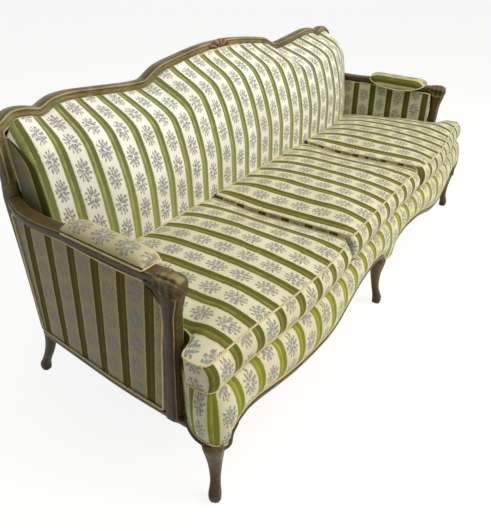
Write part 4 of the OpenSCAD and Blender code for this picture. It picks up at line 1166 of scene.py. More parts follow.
def apron_route():
    """The apron in plan from arm post to arm post: place, outward direction and swell."""
    corner_y = float(front_line(CORNER_X))
    centre = np.array([-CORNER_X + CORNER_R, corner_y + CORNER_R])
    start = float(arm_post_front(DECK_H)) + 8
    route = []
    for t in np.linspace(0, 0.96, 12):
        swell = float(along([(0, 0.05), (0.33, 0.35), (0.67, 0.7), (1, 0.75)], t))
        p = (-CORNER_X + CORNER_SWEEP * (1 - t) ** 2, mix(start, centre[1], t))
        route.append((p, np.array([-1, t - 1]) / math.hypot(1, t - 1), swell))
    for a in np.linspace(math.pi, 1.5 * math.pi, 12):
        d = np.array([math.cos(a), math.sin(a)])
        route.append((tuple(centre + CORNER_R * d), d, mix(0.75, 1, (a - math.pi) / (0.5 * math.pi))))
    for x in np.arange(centre[0] + 8, -centre[0] - 1, 8.0):
        route.append(((x, float(front_line(x))), np.array([0.0, -1.0]), 1.0))
    route += [((-p[0], p[1]), np.array([-d[0], d[1]]), s) for p, d, s in route[23::-1]]
    return route


def apron_low(p):
    """Height of the apron's lower edge at a place of its route."""
    corner_y = float(front_line(CORNER_X))
    inner = CORNER_X - CORNER_R
    if abs(p[0]) <= inner + 0.4:
        return float(apron_edge(p[0]))
    return mix(LEG_H + 0.4, PANEL_BOTTOM + 3, float(ease((p[1] - corner_y) / CORNER_R)))


class SOFA_OT_apron(bpy.types.Operator):
    """Padded apron that swells out below the cushions and runs round the corners"""

    bl_idname = "sofa.apron"
    bl_label = "Apron"

    def execute(self, context):
        fabric = context.scene.sofa_fabric
        shift = APRON_STRIPE_X / STRIPE_PITCH
        # The apron takes a brighter, yellower copy of the velvet: painted light on the apron's front
        green = "#6d7426", "#a3a745"
        cover = brocade("apron_brocade", fabric.ground_seat_painted_reflection, *green, fabric, shift=shift, rise=0.2)
        levels = np.concatenate([[0, 0.02, 0.05], np.linspace(0.1, 0.9, 15), [0.95, 1]])
        route = apron_route()
        front, back, cloth = [], [], []
        runs = run_along(np.array([p for p, d, s in route]))
        middle = np.interp(0, [p[0] for p, d, s in route[20:-20]], runs[20:-20])
        for (p, d, s), u in zip(route, runs):
            low = apron_low(p)
            col, inner, uvs = [], [], []
            for q in levels:
                z = mix(low, DECK_H - CLEARANCE, q)
                out = APRON_SWELL * float(along(APRON_PROFILE, q)) * s
                out += 1.1 * noise.noise(Vector((u / 60, z / 45, 3.0))) * math.sin(math.pi * min(q * 1.1, 1))
                col.append((p[0] + d[0] * out, p[1] + d[1] * out, z))
                inner.append((p[0] - d[0] * APRON_PADDING, p[1] - d[1] * APRON_PADDING, z))
                place = u - middle
                past = max(abs(place) - APRON_CORNER_RUN, 0)
                uvs.append((place + math.copysign(past * 0.5, place), z))
            front.append(col)
            back.append(inner)
            cloth.append(uvs)
        points, faces = closed_panel(np.array(front), np.array(back))
        flat = np.array(cloth).reshape(-1, 2)
        flat = np.concatenate([flat, flat])
        piece = make_piece("apron_padded", points, faces, cover, FABRIC, flat, stands_for=["apron_cover"])
        cord = gimp_cord(fabric)
        edge = [(*(p + d * (CORD_OUT * s + 1)), apron_low(p) + 1.5) for p, d, s in route[3:-3]]
        make_cord("apron_cord", smooth_path(edge, 1), fabric.cord_radius * 1000, cord)
        wood = context.scene.sofa_wood
        paint = painted_wood("painted_beech", wood, wood.paint, wood.paint_light)
        edge = [(*(p + d * (9 * s - 2)), apron_low(p) - 6) for p, d, s in route[:27]]
        path = smooth_path(even_path(edge, 5), 2)
        _, side, up = path_frames(path, (0, 0, 1))
        rings = [soft_ring(c, s, u, 6.5, 9, 16, 0.6) for c, s, u in zip(path, side, up)]
        shade = list(np.clip(0.6 - 0.6 * np.cos(2 * turns(16)), 0, 1)) * len(rings)
        make_pair("corner_strip", closed_rings(rings), paint, WOOD, glaze=shade + [0.6, 0.6])
        return {"FINISHED"}


BACK_STRIPES = [  # (place along the back, count of stripes), even in the middle and gathered towards the ends
    (-985, -6.6), (-920, -6.2), (-880, -5.8), (-830, -5), (-610, -2), (540, 12), (760, 15), (830, 16),
    (880, 16.8), (920, 17.2), (985, 17.6),
]
# Depth of the back pad along its half width, and up its height, as shares
PAD_ROLL = [(0, 1), (0.66, 1), (0.72, 0.99), (0.8, 0.93), (0.89, 0.77), (0.95, 0.66), (1, 0.58)]
PAD_FALL = [
    (0, 1), (0.392, 1), (0.459, 0.98), (0.517, 0.948), (0.578, 0.906), (0.64, 0.854), (0.7, 0.79),
    (0.758, 0.71), (0.816, 0.6), (0.866, 0.46), (0.916, 0.29), (0.935, 0.2), (0.958, 0.14), (1, 0.1),
]
PAD_BOTTOM = DECK_H + CLEARANCE
PAD_ROUNDING = 78
STRIPES_DRAWN_IN = 22
DRAWN_IN_BELOW = 70
# The back takes a paler copy of the velvet and its light colour: painted light
BACK_GREEN, BACK_GREEN_LIGHT = "#535b30", "#9da266"
PAD_ARM_HALF = ARM_X - RAIL_W / 2 - 2
PAD_TOP_HALF = float(stile_x(EAR_Z) - stile_half(EAR_Z)) - 0.8


def pad_half(z):
    return mix(PAD_ARM_HALF, PAD_TOP_HALF, ease((z - ARM_H + 98) / 74))


def pad_top(x):
    return np.minimum(crest_line(x) - CREST_T / 2 + 6, EAR_Z - 6 + (PAD_TOP_HALF - np.abs(x)) * 1.2)


def pad_depth(u, z, top):
    """How far the back pad's front stands before its back, at a share u of its half width."""
    edge = 1 - 0.93 * np.maximum(0, 1 - (top - z) / PAD_ROUNDING) ** 2.2
    fall = along(PAD_FALL, (z - PAD_BOTTOM) / (CREST_H - PAD_BOTTOM))
    return (PAD_BACK_Y - SEAT_BACK_Y) * along(PAD_ROLL, np.abs(u)) * fall * edge


class SOFA_OT_back(bpy.types.Operator):
    """Tight inside back, rounded towards the crest and rolled back beside the stiles"""

    bl_idname = "sofa.back"
    bl_label = "Inside back"

    def execute(self, context):
        fabric = context.scene.sofa_fabric
        green = BACK_GREEN, BACK_GREEN_LIGHT
        # The back's velvet stripes carry a painted highlight that grows towards the bottom
        cover = brocade("back_brocade", fabric.ground_back, *green, fabric, painted_highlight_below=0.72)
        end = np.linspace(0.9, 1, 12)[1:]
        us = np.concatenate([-end[::-1], np.linspace(-0.9, 0.9, 176), end])
        ss = np.concatenate([np.linspace(0, 0.9, 44), np.linspace(0.915, 1, 12)])
        front, back, cloth = [], [], []
        for u in us:
            top = float(pad_top(u * PAD_TOP_HALF))
            z = mix(PAD_BOTTOM, top, ss)
            x = u * pad_half(z)
            y = PAD_BACK_Y - pad_depth(u, z, top)
            soft = np.array([noise.noise(Vector((a / 90, b / 130, 1.0))) for a, b in zip(x, z)]) * 1.6
            y = y + soft * np.sin(np.pi * np.clip((z - 440) / (top - 440), 0, 1)) * (abs(u) < 0.93)
            front.append(np.stack([x, y, z], 1))
            rear = np.minimum(pad_half(z), stile_x(z) - stile_half(z)) - 0.8
            back.append(np.stack([u * rear, np.full_like(z, PAD_BACK_Y), z], 1))
            run = run_along(np.stack([y, z], 1)) + PAD_BOTTOM
            drawn_in = STRIPES_DRAWN_IN * u * np.maximum(0, 1 - (top - z) / DRAWN_IN_BELOW) ** 1.5
            stripe = along(BACK_STRIPES, x + drawn_in) * fabric.repeat * 1000
            cloth.append(np.stack([stripe, run], 1))
        points, faces = closed_panel(np.array(front), np.array(back))
        flat = np.array(cloth).reshape(-1, 2)
        rear_flat = flat + np.where(np.abs(points[: len(flat), 0:1]) > 860, [[60, 0]], [[0, 0]])
        flat = np.concatenate([flat, rear_flat])
        piece = make_piece("back_padded", points, faces, cover, FABRIC, flat, stands_for=["back_pad"])
        # The pad's end borders take a darker copy of the brocade: painted shade in the recess beside the
        # stiles
        piece.data.materials.append(brocade("boxing_brocade_painted_shade", "#8d8368", "#3f4319", "#50541f", fabric))
        reach = np.abs(np.tile(np.repeat(us, len(ss)), 2))
        for f in piece.data.polygons:
            f.material_index = int(min(reach[k] for k in f.vertices) > 0.995)
        cord = gimp_cord(fabric)
        radius = fabric.cord_radius * 1000
        xs = np.linspace(-PAD_TOP_HALF, PAD_TOP_HALF, 240)
        edge = [(x, CREST_Y - CREST_D / 2 - 6.0, float(pad_top(x)) - 4) for x in xs]
        make_cord("crest_cord", smooth_path(edge, 2), radius, cord)
        z = np.linspace(ARM_H + 30, EAR_Z - 8, 40)
        y = POST_FRONT_Y + 6 + 6 * ease((z - 640) / 100)
        for hand, side in both_hands(np.stack([stile_half(z) + 1.5 - stile_x(z), y, z], 1)):
            make_cord("stile_cord_" + hand, side, radius, cord)
        return {"FINISHED"}


class SOFA_OT_outside_back(bpy.types.Operator):
    """Fabric panel across the outside of the back, edged with cord"""

    bl_idname = "sofa.outside_back"
    bl_label = "Outside back"

    def execute(self, context):
        fabric = context.scene.sofa_fabric
        cover = brocade("back_brocade", fabric.ground_back, BACK_GREEN, BACK_GREEN_LIGHT, fabric)
        us, vs = np.linspace(-1, 1, 150), np.linspace(0, 1, 50)
        front, back, cloth = [], [], []
        top_half = float(stile_x(760) - stile_half(760)) - 0.6
        for u in us:
            top = min(float(crest_line(u * top_half)) - CREST_T / 2 - 6.2, 771 + (1 - abs(u)) * 900)
            z = mix(OUTSIDE_BACK_BOTTOM, top, vs)
            x = u * (stile_x(z) - stile_half(z) - 0.6)
            dome = np.sqrt(np.clip((1 - abs(u)) * 30, 0, 1) * np.clip(np.minimum(vs, 1 - vs) * 20, 0, 1))
            ripple = np.array([noise.noise(Vector((a / 150, b / 90, 7.0))) for a, b in zip(x, z)])
            front.append(np.stack([x, BACK_PLANE_Y + dome * (2.2 + ripple), z], 1))
            back.append(np.stack([x, np.full_like(z, OUTSIDE_BACK_Y), z], 1))
            cloth.append(np.stack([x - 20, z], 1))
        points, faces = closed_panel(np.array(front), np.array(back))
        flat = np.array(cloth + cloth).reshape(-1, 2)
        piece = make_piece("outside_back", points, faces, cover, FABRIC, flat, stands_for=["outer_back"])
        ring = even_path(rim_of(np.array(front)) + [0, 1.0, 0], 6, True)
        ring = ring - outward(ring, ring.mean(0)) * 3
        radius = fabric.cord_radius * 1000 * 0.8
        make_cord("outside_back_cord", smooth_path(ring, 2, True), radius, gimp_cord(fabric), closed=True)
        return {"FINISHED"}


OUTER_PLAN = [(0, 1), (0.2, 0.92), (0.38, 0.78), (0.66, 0.44), (0.89, 0.15), (1, 0)]


OUTER_ARM_REAR_X = -947
OUTER_ARM_BOW = 41


def outer_arm_at(u, v):
    """Where the outside of an arm stands, from its post back."""
    return float(OUTER_ARM_REAR_X - OUTER_ARM_BOW * along(OUTER_PLAN, u) * mix(1, 0.56, v))


def arm_panel(bottom, x_of, depth, stripe_pitch, shift, lean=0.0):
    """Front and back grids of an arm panel with its cloth places. Depth is signed, outwards first."""
    front, back, cloth = [], [], []
    for u in [*np.linspace(0, 0.075, 16), *np.linspace(0.085, 1, 64)]:
        col, inner, uvs = [], [], []
        bend = max(0, BRACKET_R - (POST_FRONT_Y + 199) * u) if depth > 0 else 0
        for v in np.linspace(0, 1, 44):
            z = bottom
            for _ in range(3):
                rear = float(arm_post_rear(min(z, ARM_POST_TOP)))
                top = float(along(ARM_UNDER, mix(float(arm_post_rear(ARM_POST_TOP)), POST_FRONT_Y, u))) - 1.2
                if bend:
                    top = min(top, BRACKET_Z + math.sqrt(BRACKET_R**2 - bend**2) * 0.99)
                z = mix(bottom, top, v)
            y = mix(rear + CLEARANCE, POST_FRONT_Y - CLEARANCE, u)
            x = x_of(u, v)
            dome = min(1, min(u, 1 - u) * 14, min(v, 1 - v) * 10) ** 0.5
            puff = dome * (1.6 + 1.0 * noise.noise(Vector((y / 70, z / 90, 5.0))))
            col.append((x - math.copysign(puff, depth), y, z))
            inner.append((x + depth, y, z))
            uvs.append((y + lean * (z - 400) + shift, z))
        front.append(col)
        back.append(inner)
        cloth.append(uvs)
    cloth = np.array(cloth).reshape(-1, 2)
    cloth[:, 0] *= stripe_pitch / ARM_STRIPE_PITCH
    return np.array(front), np.array(back), np.concatenate([cloth, cloth])


class SOFA_OT_arm_panels(bpy.types.Operator):
    """Upholstered panels on both faces of each arm, with their cords"""

    bl_idname = "sofa.arm_panels"
    bl_label = "Arm panels"

    def execute(self, context):
        fabric = context.scene.sofa_fabric
        # The outside arms take darker, browner copies of the ground and the velvet: painted shade
        cover = brocade("arm_brocade", fabric.ground_arm_painted_shade, "#474019", "#5f5729", fabric, rise=0.55)
        cord = gimp_cord(fabric)
        radius = fabric.cord_radius * 1000
        pitch = fabric.repeat * 1000
        places = {"shift": 152, "lean": 0.075}
        front, back, cloth = arm_panel(PANEL_BOTTOM, outer_arm_at, OUTER_ARM_T, pitch, **places)
        points, faces = closed_panel(front, back)
        for piece in make_pair("outside_arm", (points, faces), cover, FABRIC, "outer_arm", cloth=cloth):
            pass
        ring = even_path(rim_of(front), 5, True)
        middle = ring.mean(0)
        toward = middle - ring
        toward[:, 0] = 0
        ring = ring + toward / np.linalg.norm(toward, axis=1)[:, None] * 5.5 + [-4, 0, 0]
        for hand, side in both_hands(smooth_path(ring, 3, True)):
            make_cord("outside_arm_cord_" + hand, side, radius * 1.15, cord, closed=True)
        # The inside arms take darker copies of the ground and the velvet: painted shade
        inner = brocade("inner_arm_brocade", "#cdc9b2", "#4a4a20", "#5a5c28", fabric, rise=0.1)
        bottom = DECK_H + CLEARANCE
        front, back, cloth = arm_panel(bottom, lambda u, v: -INNER_ARM_X, -INNER_ARM_T, pitch, shift=3)
        points, faces = closed_panel(front, back)
        for piece in make_pair("inside_arm", (points, faces), inner, FABRIC, "inner_arm", cloth=cloth):
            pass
        edge = front[:, -1] + [1.5, 0, -2.5]
        for hand, side in both_hands(edge):
            make_cord("inside_arm_cord_" + hand, side, radius * 0.8, cord)
        return {"FINISHED"}


# Section of an armrest from its outer edge over the top: shares of its width and height
ARMREST_TOP = [(0, 0), (-0.01, 0.45), (0.11, 0.8), (0.32, 1), (0.6, 0.96), (0.9, 0.6)]
ARMREST_BACK = 81
ARMREST_OVERHANG = 25


class SOFA_OT_armrests(bpy.types.Operator):
    """Padded armrests with a cord round their lower edge"""

    bl_idname = "sofa.armrests"
    bl_label = "Armrests"

    def execute(self, context):
        fabric = context.scene.sofa_fabric
        # The armrests take a darker copy of the ground: painted shade
        cover = brocade("armrest_brocade", "#bdb595", "#4b4e1e", "#74742f", fabric, rise=0.3)
        rings, cloth, low_out, low_in = [], [], [], []
        for t in np.sin(np.linspace(-1.5, 1.5, 64)) * 0.985:
            y = ARM_FRONT_Y + ARMREST_BACK + ARMREST_L * (t + 1) / 2
            w = math.sqrt(1 - t**6)
            seat = float(along(ARM_TOP, y)) + 0.8
            top = seat + ARMREST_T * (0.25 + 0.75 * w)
            inner = float(along(ARM_INNER, y)) - 0.8
            out, side = inner + RAIL_W + 3, inner - 1 - ARMREST_OVERHANG * w
            low = seat - ARMREST_T * (1 - t * t) ** 0.7
            shape = [(-mix(out, side, a), mix(seat, top, b)) for a, b in ARMREST_TOP]
            shape += [(-side, mix(low, top, 0.4)), (-side - 1, low), (-inner, low), (-inner, seat)]
            shape = [(x, y, z) for x, z in shape]
            girth = run_along(even_path(shape, 1, True))[-1]
            loop = even_path(smooth_path(even_path(shape, girth / 40, True), 1, True), 1, True)
            loop = loop[np.linspace(0, len(loop), 41)[:-1].astype(int)]
            rings.append(loop)
            cloth += [((a - 95) * 0.8, y) for a in run_along(loop)]
            low_out.append((-out - 0.5, y, seat + 1.5))
            low_in.append((-side + 0.5, y, low + 1.5))
        points, faces = closed_rings(rings)
        cloth = np.array(cloth + [(-20, rings[0][0][1]), (-20, rings[-1][0][1])])
        held = [k for k, p in enumerate(points) if p[2] < float(along(ARM_TOP, p[1])) + 3]
        for hand, side in both_hands(points):
            node = "armrest_" + hand
            piece = make_piece("armrest_padded_" + hand, side, faces, cover, FABRIC, cloth, stands_for=[node])
            fill_out(piece, held, [4.0] * len(points), pressure=3.0)
        rim = smooth_path(even_path([*low_out, *low_in[::-1]], 4, True), 3, True)
        for hand, side in both_hands(rim):
            make_cord("armrest_cord_" + hand, side, fabric.cord_radius * 1000, gimp_cord(fabric), closed=True)
        return {"FINISHED"}


CUSHION_SETBACK = 18
CUSHION_GAP = 6
CUSHION_OUT_X = 930.7
CUSHION_BACK_Y = 140
MIDDLE_FRONT_Y, OUTER_FRONT_Y = -377, -361
OUTER_MIDDLE_X = 629.5
SEAM_R = 14


def cushion_front(x):
    return front_line(x) + CUSHION_SETBACK


def cushion_rear(x):
    depth = PAD_BACK_Y - SEAT_BACK_Y
    return PAD_BACK_Y - depth * along(PAD_ROLL, np.minimum(np.abs(x) / PAD_ARM_HALF, 1)) - CUSHION_GAP


def cushion_edge_z(p):
    """Height of a cushion's upper seam over a place of its outline."""
    rise = 14 * ease((p[:, 1] - SEAT_BACK_Y + 200) / 200)
    sag = 40 * ease((np.abs(p[:, 0]) - CUSHION_OUT_X + 230) / 230) * ease((p[:, 1] - SEAT_BACK_Y + 250) / 300)
    return CUSHION_BOTTOM + BORDER_H + rise - sag


def middle_outline():
    """Outline of the middle cushion, anticlockwise from its front left."""
    x, r = MIDDLE_HALF - CLEARANCE, SEAM_R
    front, rear = float(cushion_front(x - r)) + r, float(cushion_rear(x)) - r
    sides = np.linspace(front, rear, 20)[1:-1]
    hollow = 4 * np.sin(np.linspace(0, np.pi, 20)[1:-1])
    return [
        *[(a, float(cushion_front(a))) for a in np.linspace(-x + r, x - r, 50)],
        *arc((x - r, front), r, -60, 0),
        *[(x - h, y) for y, h in zip(sides, hollow)],
        *arc((x - r, rear), r, 0, 90),
        *[(a, float(cushion_rear(a))) for a in np.linspace(x - r, -x + r, 40)[1:-1]],
        *arc((-x + r, rear), r, 90, 180),
        *[(-x + h, y) for y, h in zip(sides[::-1], hollow)],
        *arc((-x + r, front), r, 180, 240),
    ]


EAR_D = 46
EAR_R = 17
EAR_SHARES = [(0, 0), (0.06, 0.3), (0.2, 0.62), (0.48, 0.82), (0.8, 0.9), (0.97, 1.05), (1, 1.5)]


def outer_outline():
    """Outline of the left cushion, with its ear in front of the arm post."""
    x0, x1, r = -CUSHION_OUT_X, -MIDDLE_HALF - CLEARANCE, SEAM_R
    ear_out, ear_r = CORNER_X + 4, EAR_R
    front, rear = float(cushion_front(x1 - r)) + r, float(cushion_rear(x1)) - r
    ear_front = float(cushion_front(ear_out - ear_r)) + ear_r
    ear_back = float(arm_post_front(DECK_H + BORDER_H)) + 12
    left_rear = float(cushion_rear(x0)) - r
    k = np.linspace(0, 6, 30)
    ear_x = along([(i, q[0]) for i, q in enumerate(EAR_SHARES)], k)
    ear_y = along([(i, q[1]) for i, q in enumerate(EAR_SHARES)], k)
    wave = np.sin(np.linspace(0, np.pi, 20)[1:-1])
    return [
        *arc((-ear_out + ear_r, ear_front), ear_r, 180, 262, 9),
        *[(a, float(cushion_front(a))) for a in np.linspace(-ear_out + ear_r + 1, x1 - r, 60)],
        *arc((x1 - r, front), r, -60, 0),
        *[(x1 - 4 * h, y) for y, h in zip(np.linspace(front, rear, 20)[1:-1], wave)],
        *arc((x1 - r, rear), r, 0, 90),
        *[(a, float(cushion_rear(a))) for a in np.linspace(x1 - r, x0 + r, 40)[1:-1]],
        *arc((x0 + r, left_rear), r, 90, 180),
        *[(x0 + 4 * h, y) for y, h in zip(np.linspace(left_rear, ear_back, 20)[1:-1], wave)],
        *[(mix(x0, -ear_out, a), ear_back - EAR_D * b) for a, b in zip(ear_x, ear_y)],
    ]


EAR_START_X = 930
EAR_TAKE_UP, BORDER_TAKE_UP = -0.4, 0.06
BORDER_DROP = 820
BORDER_ROWS = [(0, 0.5), (0.05, 0.6), (0.3, 0.95), (0.6, 1), (0.85, 0.6), (0.97, 0.05), (1, 0)]
UNDER_SHARES = [0.12, 0.3, 0.5, 0.7, 0.88, 0.975]
SEAM_HEIGHTS = [0.03, 0.08, 0.18, 0.3, 0.42, 0.54, 0.66, 0.78, 0.88, 0.95, 1.0]
CROWN_SHARES = [0.985, 0.96, 0.92, 0.87, 0.81, 0.74, 0.66, 0.57, 0.47, 0.36, 0.25, 0.13]


def make_cushion(name, outline, c, materials, stripe, pitch, falls=0, stands=0):
    """A boxed seat cushion with a swelling front border and cords on its seams. One velvet stripe lies at
    stripe, and the next a pitch away. Its right side falls away and its left side stands up beside the next
    cushion by the given heights."""
    fabric, cover, cord = materials
    body = "seat_" + name
    c = np.array(c)
    ring = even_path([(x, y, 0) for x, y in outline], 13, True)[:, :2]
    n = len(ring)
    face = ease((cushion_front(ring[:, 0]) + 60 - ring[:, 1]) / 60)
    right = ease((ring[:, 0] - ring[:, 0].max() + 90) / 90)
    left = ease((ring[:, 0].min() + 60 - ring[:, 0]) / 60)
    edge = cushion_edge_z(ring) - falls * right + stands * left
    if falls:
        corner = ease((ring[:, 0] - ring[:, 0].max() + 50) / 50) * face
        ring = ring + np.column_stack([-4 * right - 7 * corner, 15 * corner])
    soft = rumple([(x, y, 9.0) for x, y in ring], 45.0, 2.2)
    rows = []
    for s in UNDER_SHARES:
        q = c + (ring - c) * s
        rows.append(np.column_stack([q, np.full(n, CUSHION_BOTTOM + 0.3)]))
    for h in SEAM_HEIGHTS:
        q = ring.copy()
        q[:, 1] -= (BORDER_SWELL * float(along(BORDER_ROWS, h)) + soft * math.sin(math.pi * h)) * face
        if h < 0.06:
            q = c + (q - c) * 0.996
        rows.append(np.column_stack([q, mix(CUSHION_BOTTOM, edge, h)]))
    for s in CROWN_SHARES:
        eased = smooth_path(np.column_stack([ring, edge]), int(110 * (1 - s)), True)
        q = c + (eased[:, :2] - c) * s
        bumps = rumple(np.column_stack([q, np.full(n, 2.0)]), 110.0, 3.0) * (1 - s**6)
        rows.append(np.column_stack([q, mix(eased[:, 2], CUSHION_TOP - 6, 1 - s**4) + bumps]))
    rows = np.array(rows)
    points, faces = closed_rings(rows)
    # Cloth places: from front to back on top and underneath, round the outline on the border
    lap = np.linalg.norm(np.roll(ring, -1, 0) - ring, axis=1)
    run = np.concatenate([[0], np.cumsum(lap)])
    start = int(np.argmin(np.abs(ring[:, 0] - c[0]) + (ring[:, 1] > c[1]) * 9999))
    run = run - run[start] + ring[start, 0]
    break_at = int(0.6 * n)
    whole = run[n] - run[0]
    run = np.where(np.arange(n + 1) > break_at, run - whole, run)
    scale = fabric.repeat * 1000 / pitch

    def across(x, ear):
        """Where a place lies across the stripes; the ear's top and border take up the cloth differently."""
        over = np.minimum(x + EAR_START_X, 0)
        return (x - stripe + over * ear) * scale

    first = len(UNDER_SHARES)
    seams = [first, first + len(SEAM_HEIGHTS) - 1]
    flat_rows = {*range(first), *range(seams[1], len(rows) + 1)}
    total = len(rows) * n
    cloth = []
    for f in faces:
        ks = [k for k in f if k < total]
        on_top = min(k // n for k in ks) in flat_rows
        breaks = {k % n for k in ks} >= {break_at, break_at + 1}
        for k in f:
            if k >= total or on_top:
                cloth.append((across(points[k][0], EAR_TAKE_UP), points[k][1]))
            else:
                j = k % n
                at = run[j] + whole * (breaks and j > break_at)
                cloth.append((across(at, BORDER_TAKE_UP), points[k][2] - BORDER_DROP))
    held = [k * n + j for k in [*range(first + 1), seams[1]] for j in range(n)] + [total]
    caps = np.full(len(points), fabric.swell * 1000)
    caps[: (seams[1] + 1) * n] = 3.0
    piece = make_piece(name, points, faces, cover, FABRIC, cloth, body=body, stands_for=[body])
    fill_out(piece, held, caps)
    radius = fabric.cord_radius * 1000
    for row, word in zip(seams, ("lower", "upper")):
        path = rows[row].copy()
        path[:, :2] += outward(path[:, :2], c) * 1.2
        if word == "lower":
            path[:, 2] = CUSHION_BOTTOM + radius + 0.2
        make_cord(f"{name}_cord_{word}", smooth_path(path, 1, True), radius, cord, body=body, closed=True)


class SOFA_OT_cushions(bpy.types.Operator):
    """Three loose seat cushions"""

    bl_idname = "sofa.cushions"
    bl_label = "Seat cushions"

    def execute(self, context):
        fabric = context.scene.sofa_fabric
        cover = brocade("seat_brocade", fabric.ground_seat_painted_reflection, fabric.velvet, fabric.velvet_light, fabric)
        materials = fabric, cover, gimp_cord(fabric)
        centre = (0, mix(MIDDLE_FRONT_Y, CUSHION_BACK_Y, 0.48))
        make_cushion("cushion_middle", middle_outline(), centre, materials, -42, 85, falls=9, stands=3)
        left = outer_outline()
        right = [(-x, y) for x, y in left[::-1]]
        y = mix(OUTER_FRONT_Y, CUSHION_BACK_Y, 0.32)
        make_cushion("cushion_left", left, (-OUTER_MIDDLE_X, y), materials, -500, 84, falls=10)
        make_cushion("cushion_right", right, (OUTER_MIDDLE_X, y), materials, 372, 78, stands=4)
        return {"FINISHED"}


# Hidden parts


WEBBING_Y = 336.6
WEBBING_BOTTOM = 382
WEBBING_HALF_W = 25
WEBBING_T = 1.3


def dress_node(name, material):
    """Gives a frame node its material."""
    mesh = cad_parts[name].data
    mesh.materials.clear()
    mesh.materials.append(material)


class SOFA_OT_carcass(bpy.types.Operator):
    """Finishes of the rails, blocks, springs and glides, and the linings"""

    bl_idname = "sofa.carcass"
    bl_label = "Carcass and linings"

    def execute(self, context):
        steel = plain_stuff("drawn_steel", "#8e8f92", "#77787c", 0.35, 0.004, Metallic=1.0)
        nylon = plain_stuff("moulded_nylon", "#2f2b27", "#3b3631", 0.5, 0.006)
        finishes = [
            (("front_rail", "rear_rail", "side_rail", "cross_brace", "corner_blocks"), sawn_beech()),
            (("lower_back", "back_uprights", "arm_tack"), sawn_beech()),
            (("seat_springs", "spring_clips", "block_screws"), steel),
            (("foot_glides",), nylon),
        ]
        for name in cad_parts:
            for starts, material in finishes:
                if name.startswith(starts):
                    dress_node(name, material)
        hessian = woven_stuff("woven_hessian", "#a58f66", "#7c6a48", 0.003)
        cambric = woven_stuff("black_cambric", "#3d3a36", "#26241f", 0.002)
        calico = woven_stuff("deck_calico", "#b8b08c", "#968e6a", 0.0025)
        # Webbing inside the back
        points, faces = [], []
        for s in (-0.86, -0.7, -0.54, -0.28, -0.1, 0.1, 0.28, 0.54, 0.7, 0.86):
            x = s * EAR_X
            top = float(crest_line(x)) - CREST_T / 2 + 8
            t = np.linspace(0, 1, 24)
            strip = np.stack([0 * t, WEBBING_Y + 0.9 * np.sin(np.pi * t), mix(WEBBING_BOTTOM, top, t)], 1)
            grid = np.array([strip + [x + a, 0, 0] for a in np.linspace(-WEBBING_HALF_W, WEBBING_HALF_W, 5)])
            p, f = closed_panel(grid, grid + [0, WEBBING_T, 0])
            faces += [tuple(k + len(points) for k in q) for q in f]
            points += p.tolist()
        make_piece("webbing_strips", points, faces, hessian, "lining", stands_for=["back_webbing"])
        # Padded deck under the cushions, with rounded edges
        half = DECK_HALF
        front, back = [], []
        for x in np.linspace(-half, half, 120):
            y0 = float(front_line(x)) + DECK_FRONT_IN
            y1 = POST_FRONT_Y - CLEARANCE if abs(x) > DUST_HALF else DECK_REAR_Y
            col = []
            for t in np.linspace(0, 1, 40):
                edge = min(t, 1 - t, (half - abs(x)) / (2 * half)) * 60
                col.append((x, mix(y0, y1, t), DECK_H - 3 * math.exp(-edge) - 0.2))
            front.append(col)
            back.append([(p[0], p[1], DECK_H - DECK_T) for p in col])
        points, faces = closed_panel(np.array(front), np.array(back))
        deck = make_piece("deck_padded", points, faces, calico, "lining", stands_for=["seat_deck"])
        # Dust cover, tacked under the braces and sagging a little between them
        grid, half = [], DUST_HALF
        for x in np.linspace(-half, half, 100):
            y0 = float(front_line(x)) + DUST_FRONT_IN + CLEARANCE
            if abs(x) > MIDDLE_HALF:
                sag = 3 * abs(math.sin(math.pi * (abs(x) - MIDDLE_HALF) / BRACE_SPAN))
            else:
                sag = 3 * math.cos(math.pi * x / (2 * MIDDLE_HALF))
            t = np.linspace(0, 1, 30)
            grid.append(np.stack([0 * t + x, mix(y0, REAR_RAIL_Y, t), DUST_H - sag * np.sin(np.pi * t)], 1))
        grid = np.array(grid)
        points = grid.reshape(-1, 3)
        faces = strip_faces(*grid.shape[:2])
        cover = make_piece("dust_cloth", points, faces, cambric, "lining", stands_for=["dust_cover"])
        return {"FINISHED"}


PICTURE_H_PX = 531


def straight_rays(tree):
    """One for rays from the camera, off a gloss or through glass, which should meet plain white."""
    rays = put(tree, "LightPath")
    straight = maths(tree, "MAXIMUM", rays.outputs["Is Glossy Ray"], rays.outputs["Is Transmission Ray"])
    return maths(tree, "MAXIMUM", straight, rays.outputs["Is Camera Ray"])


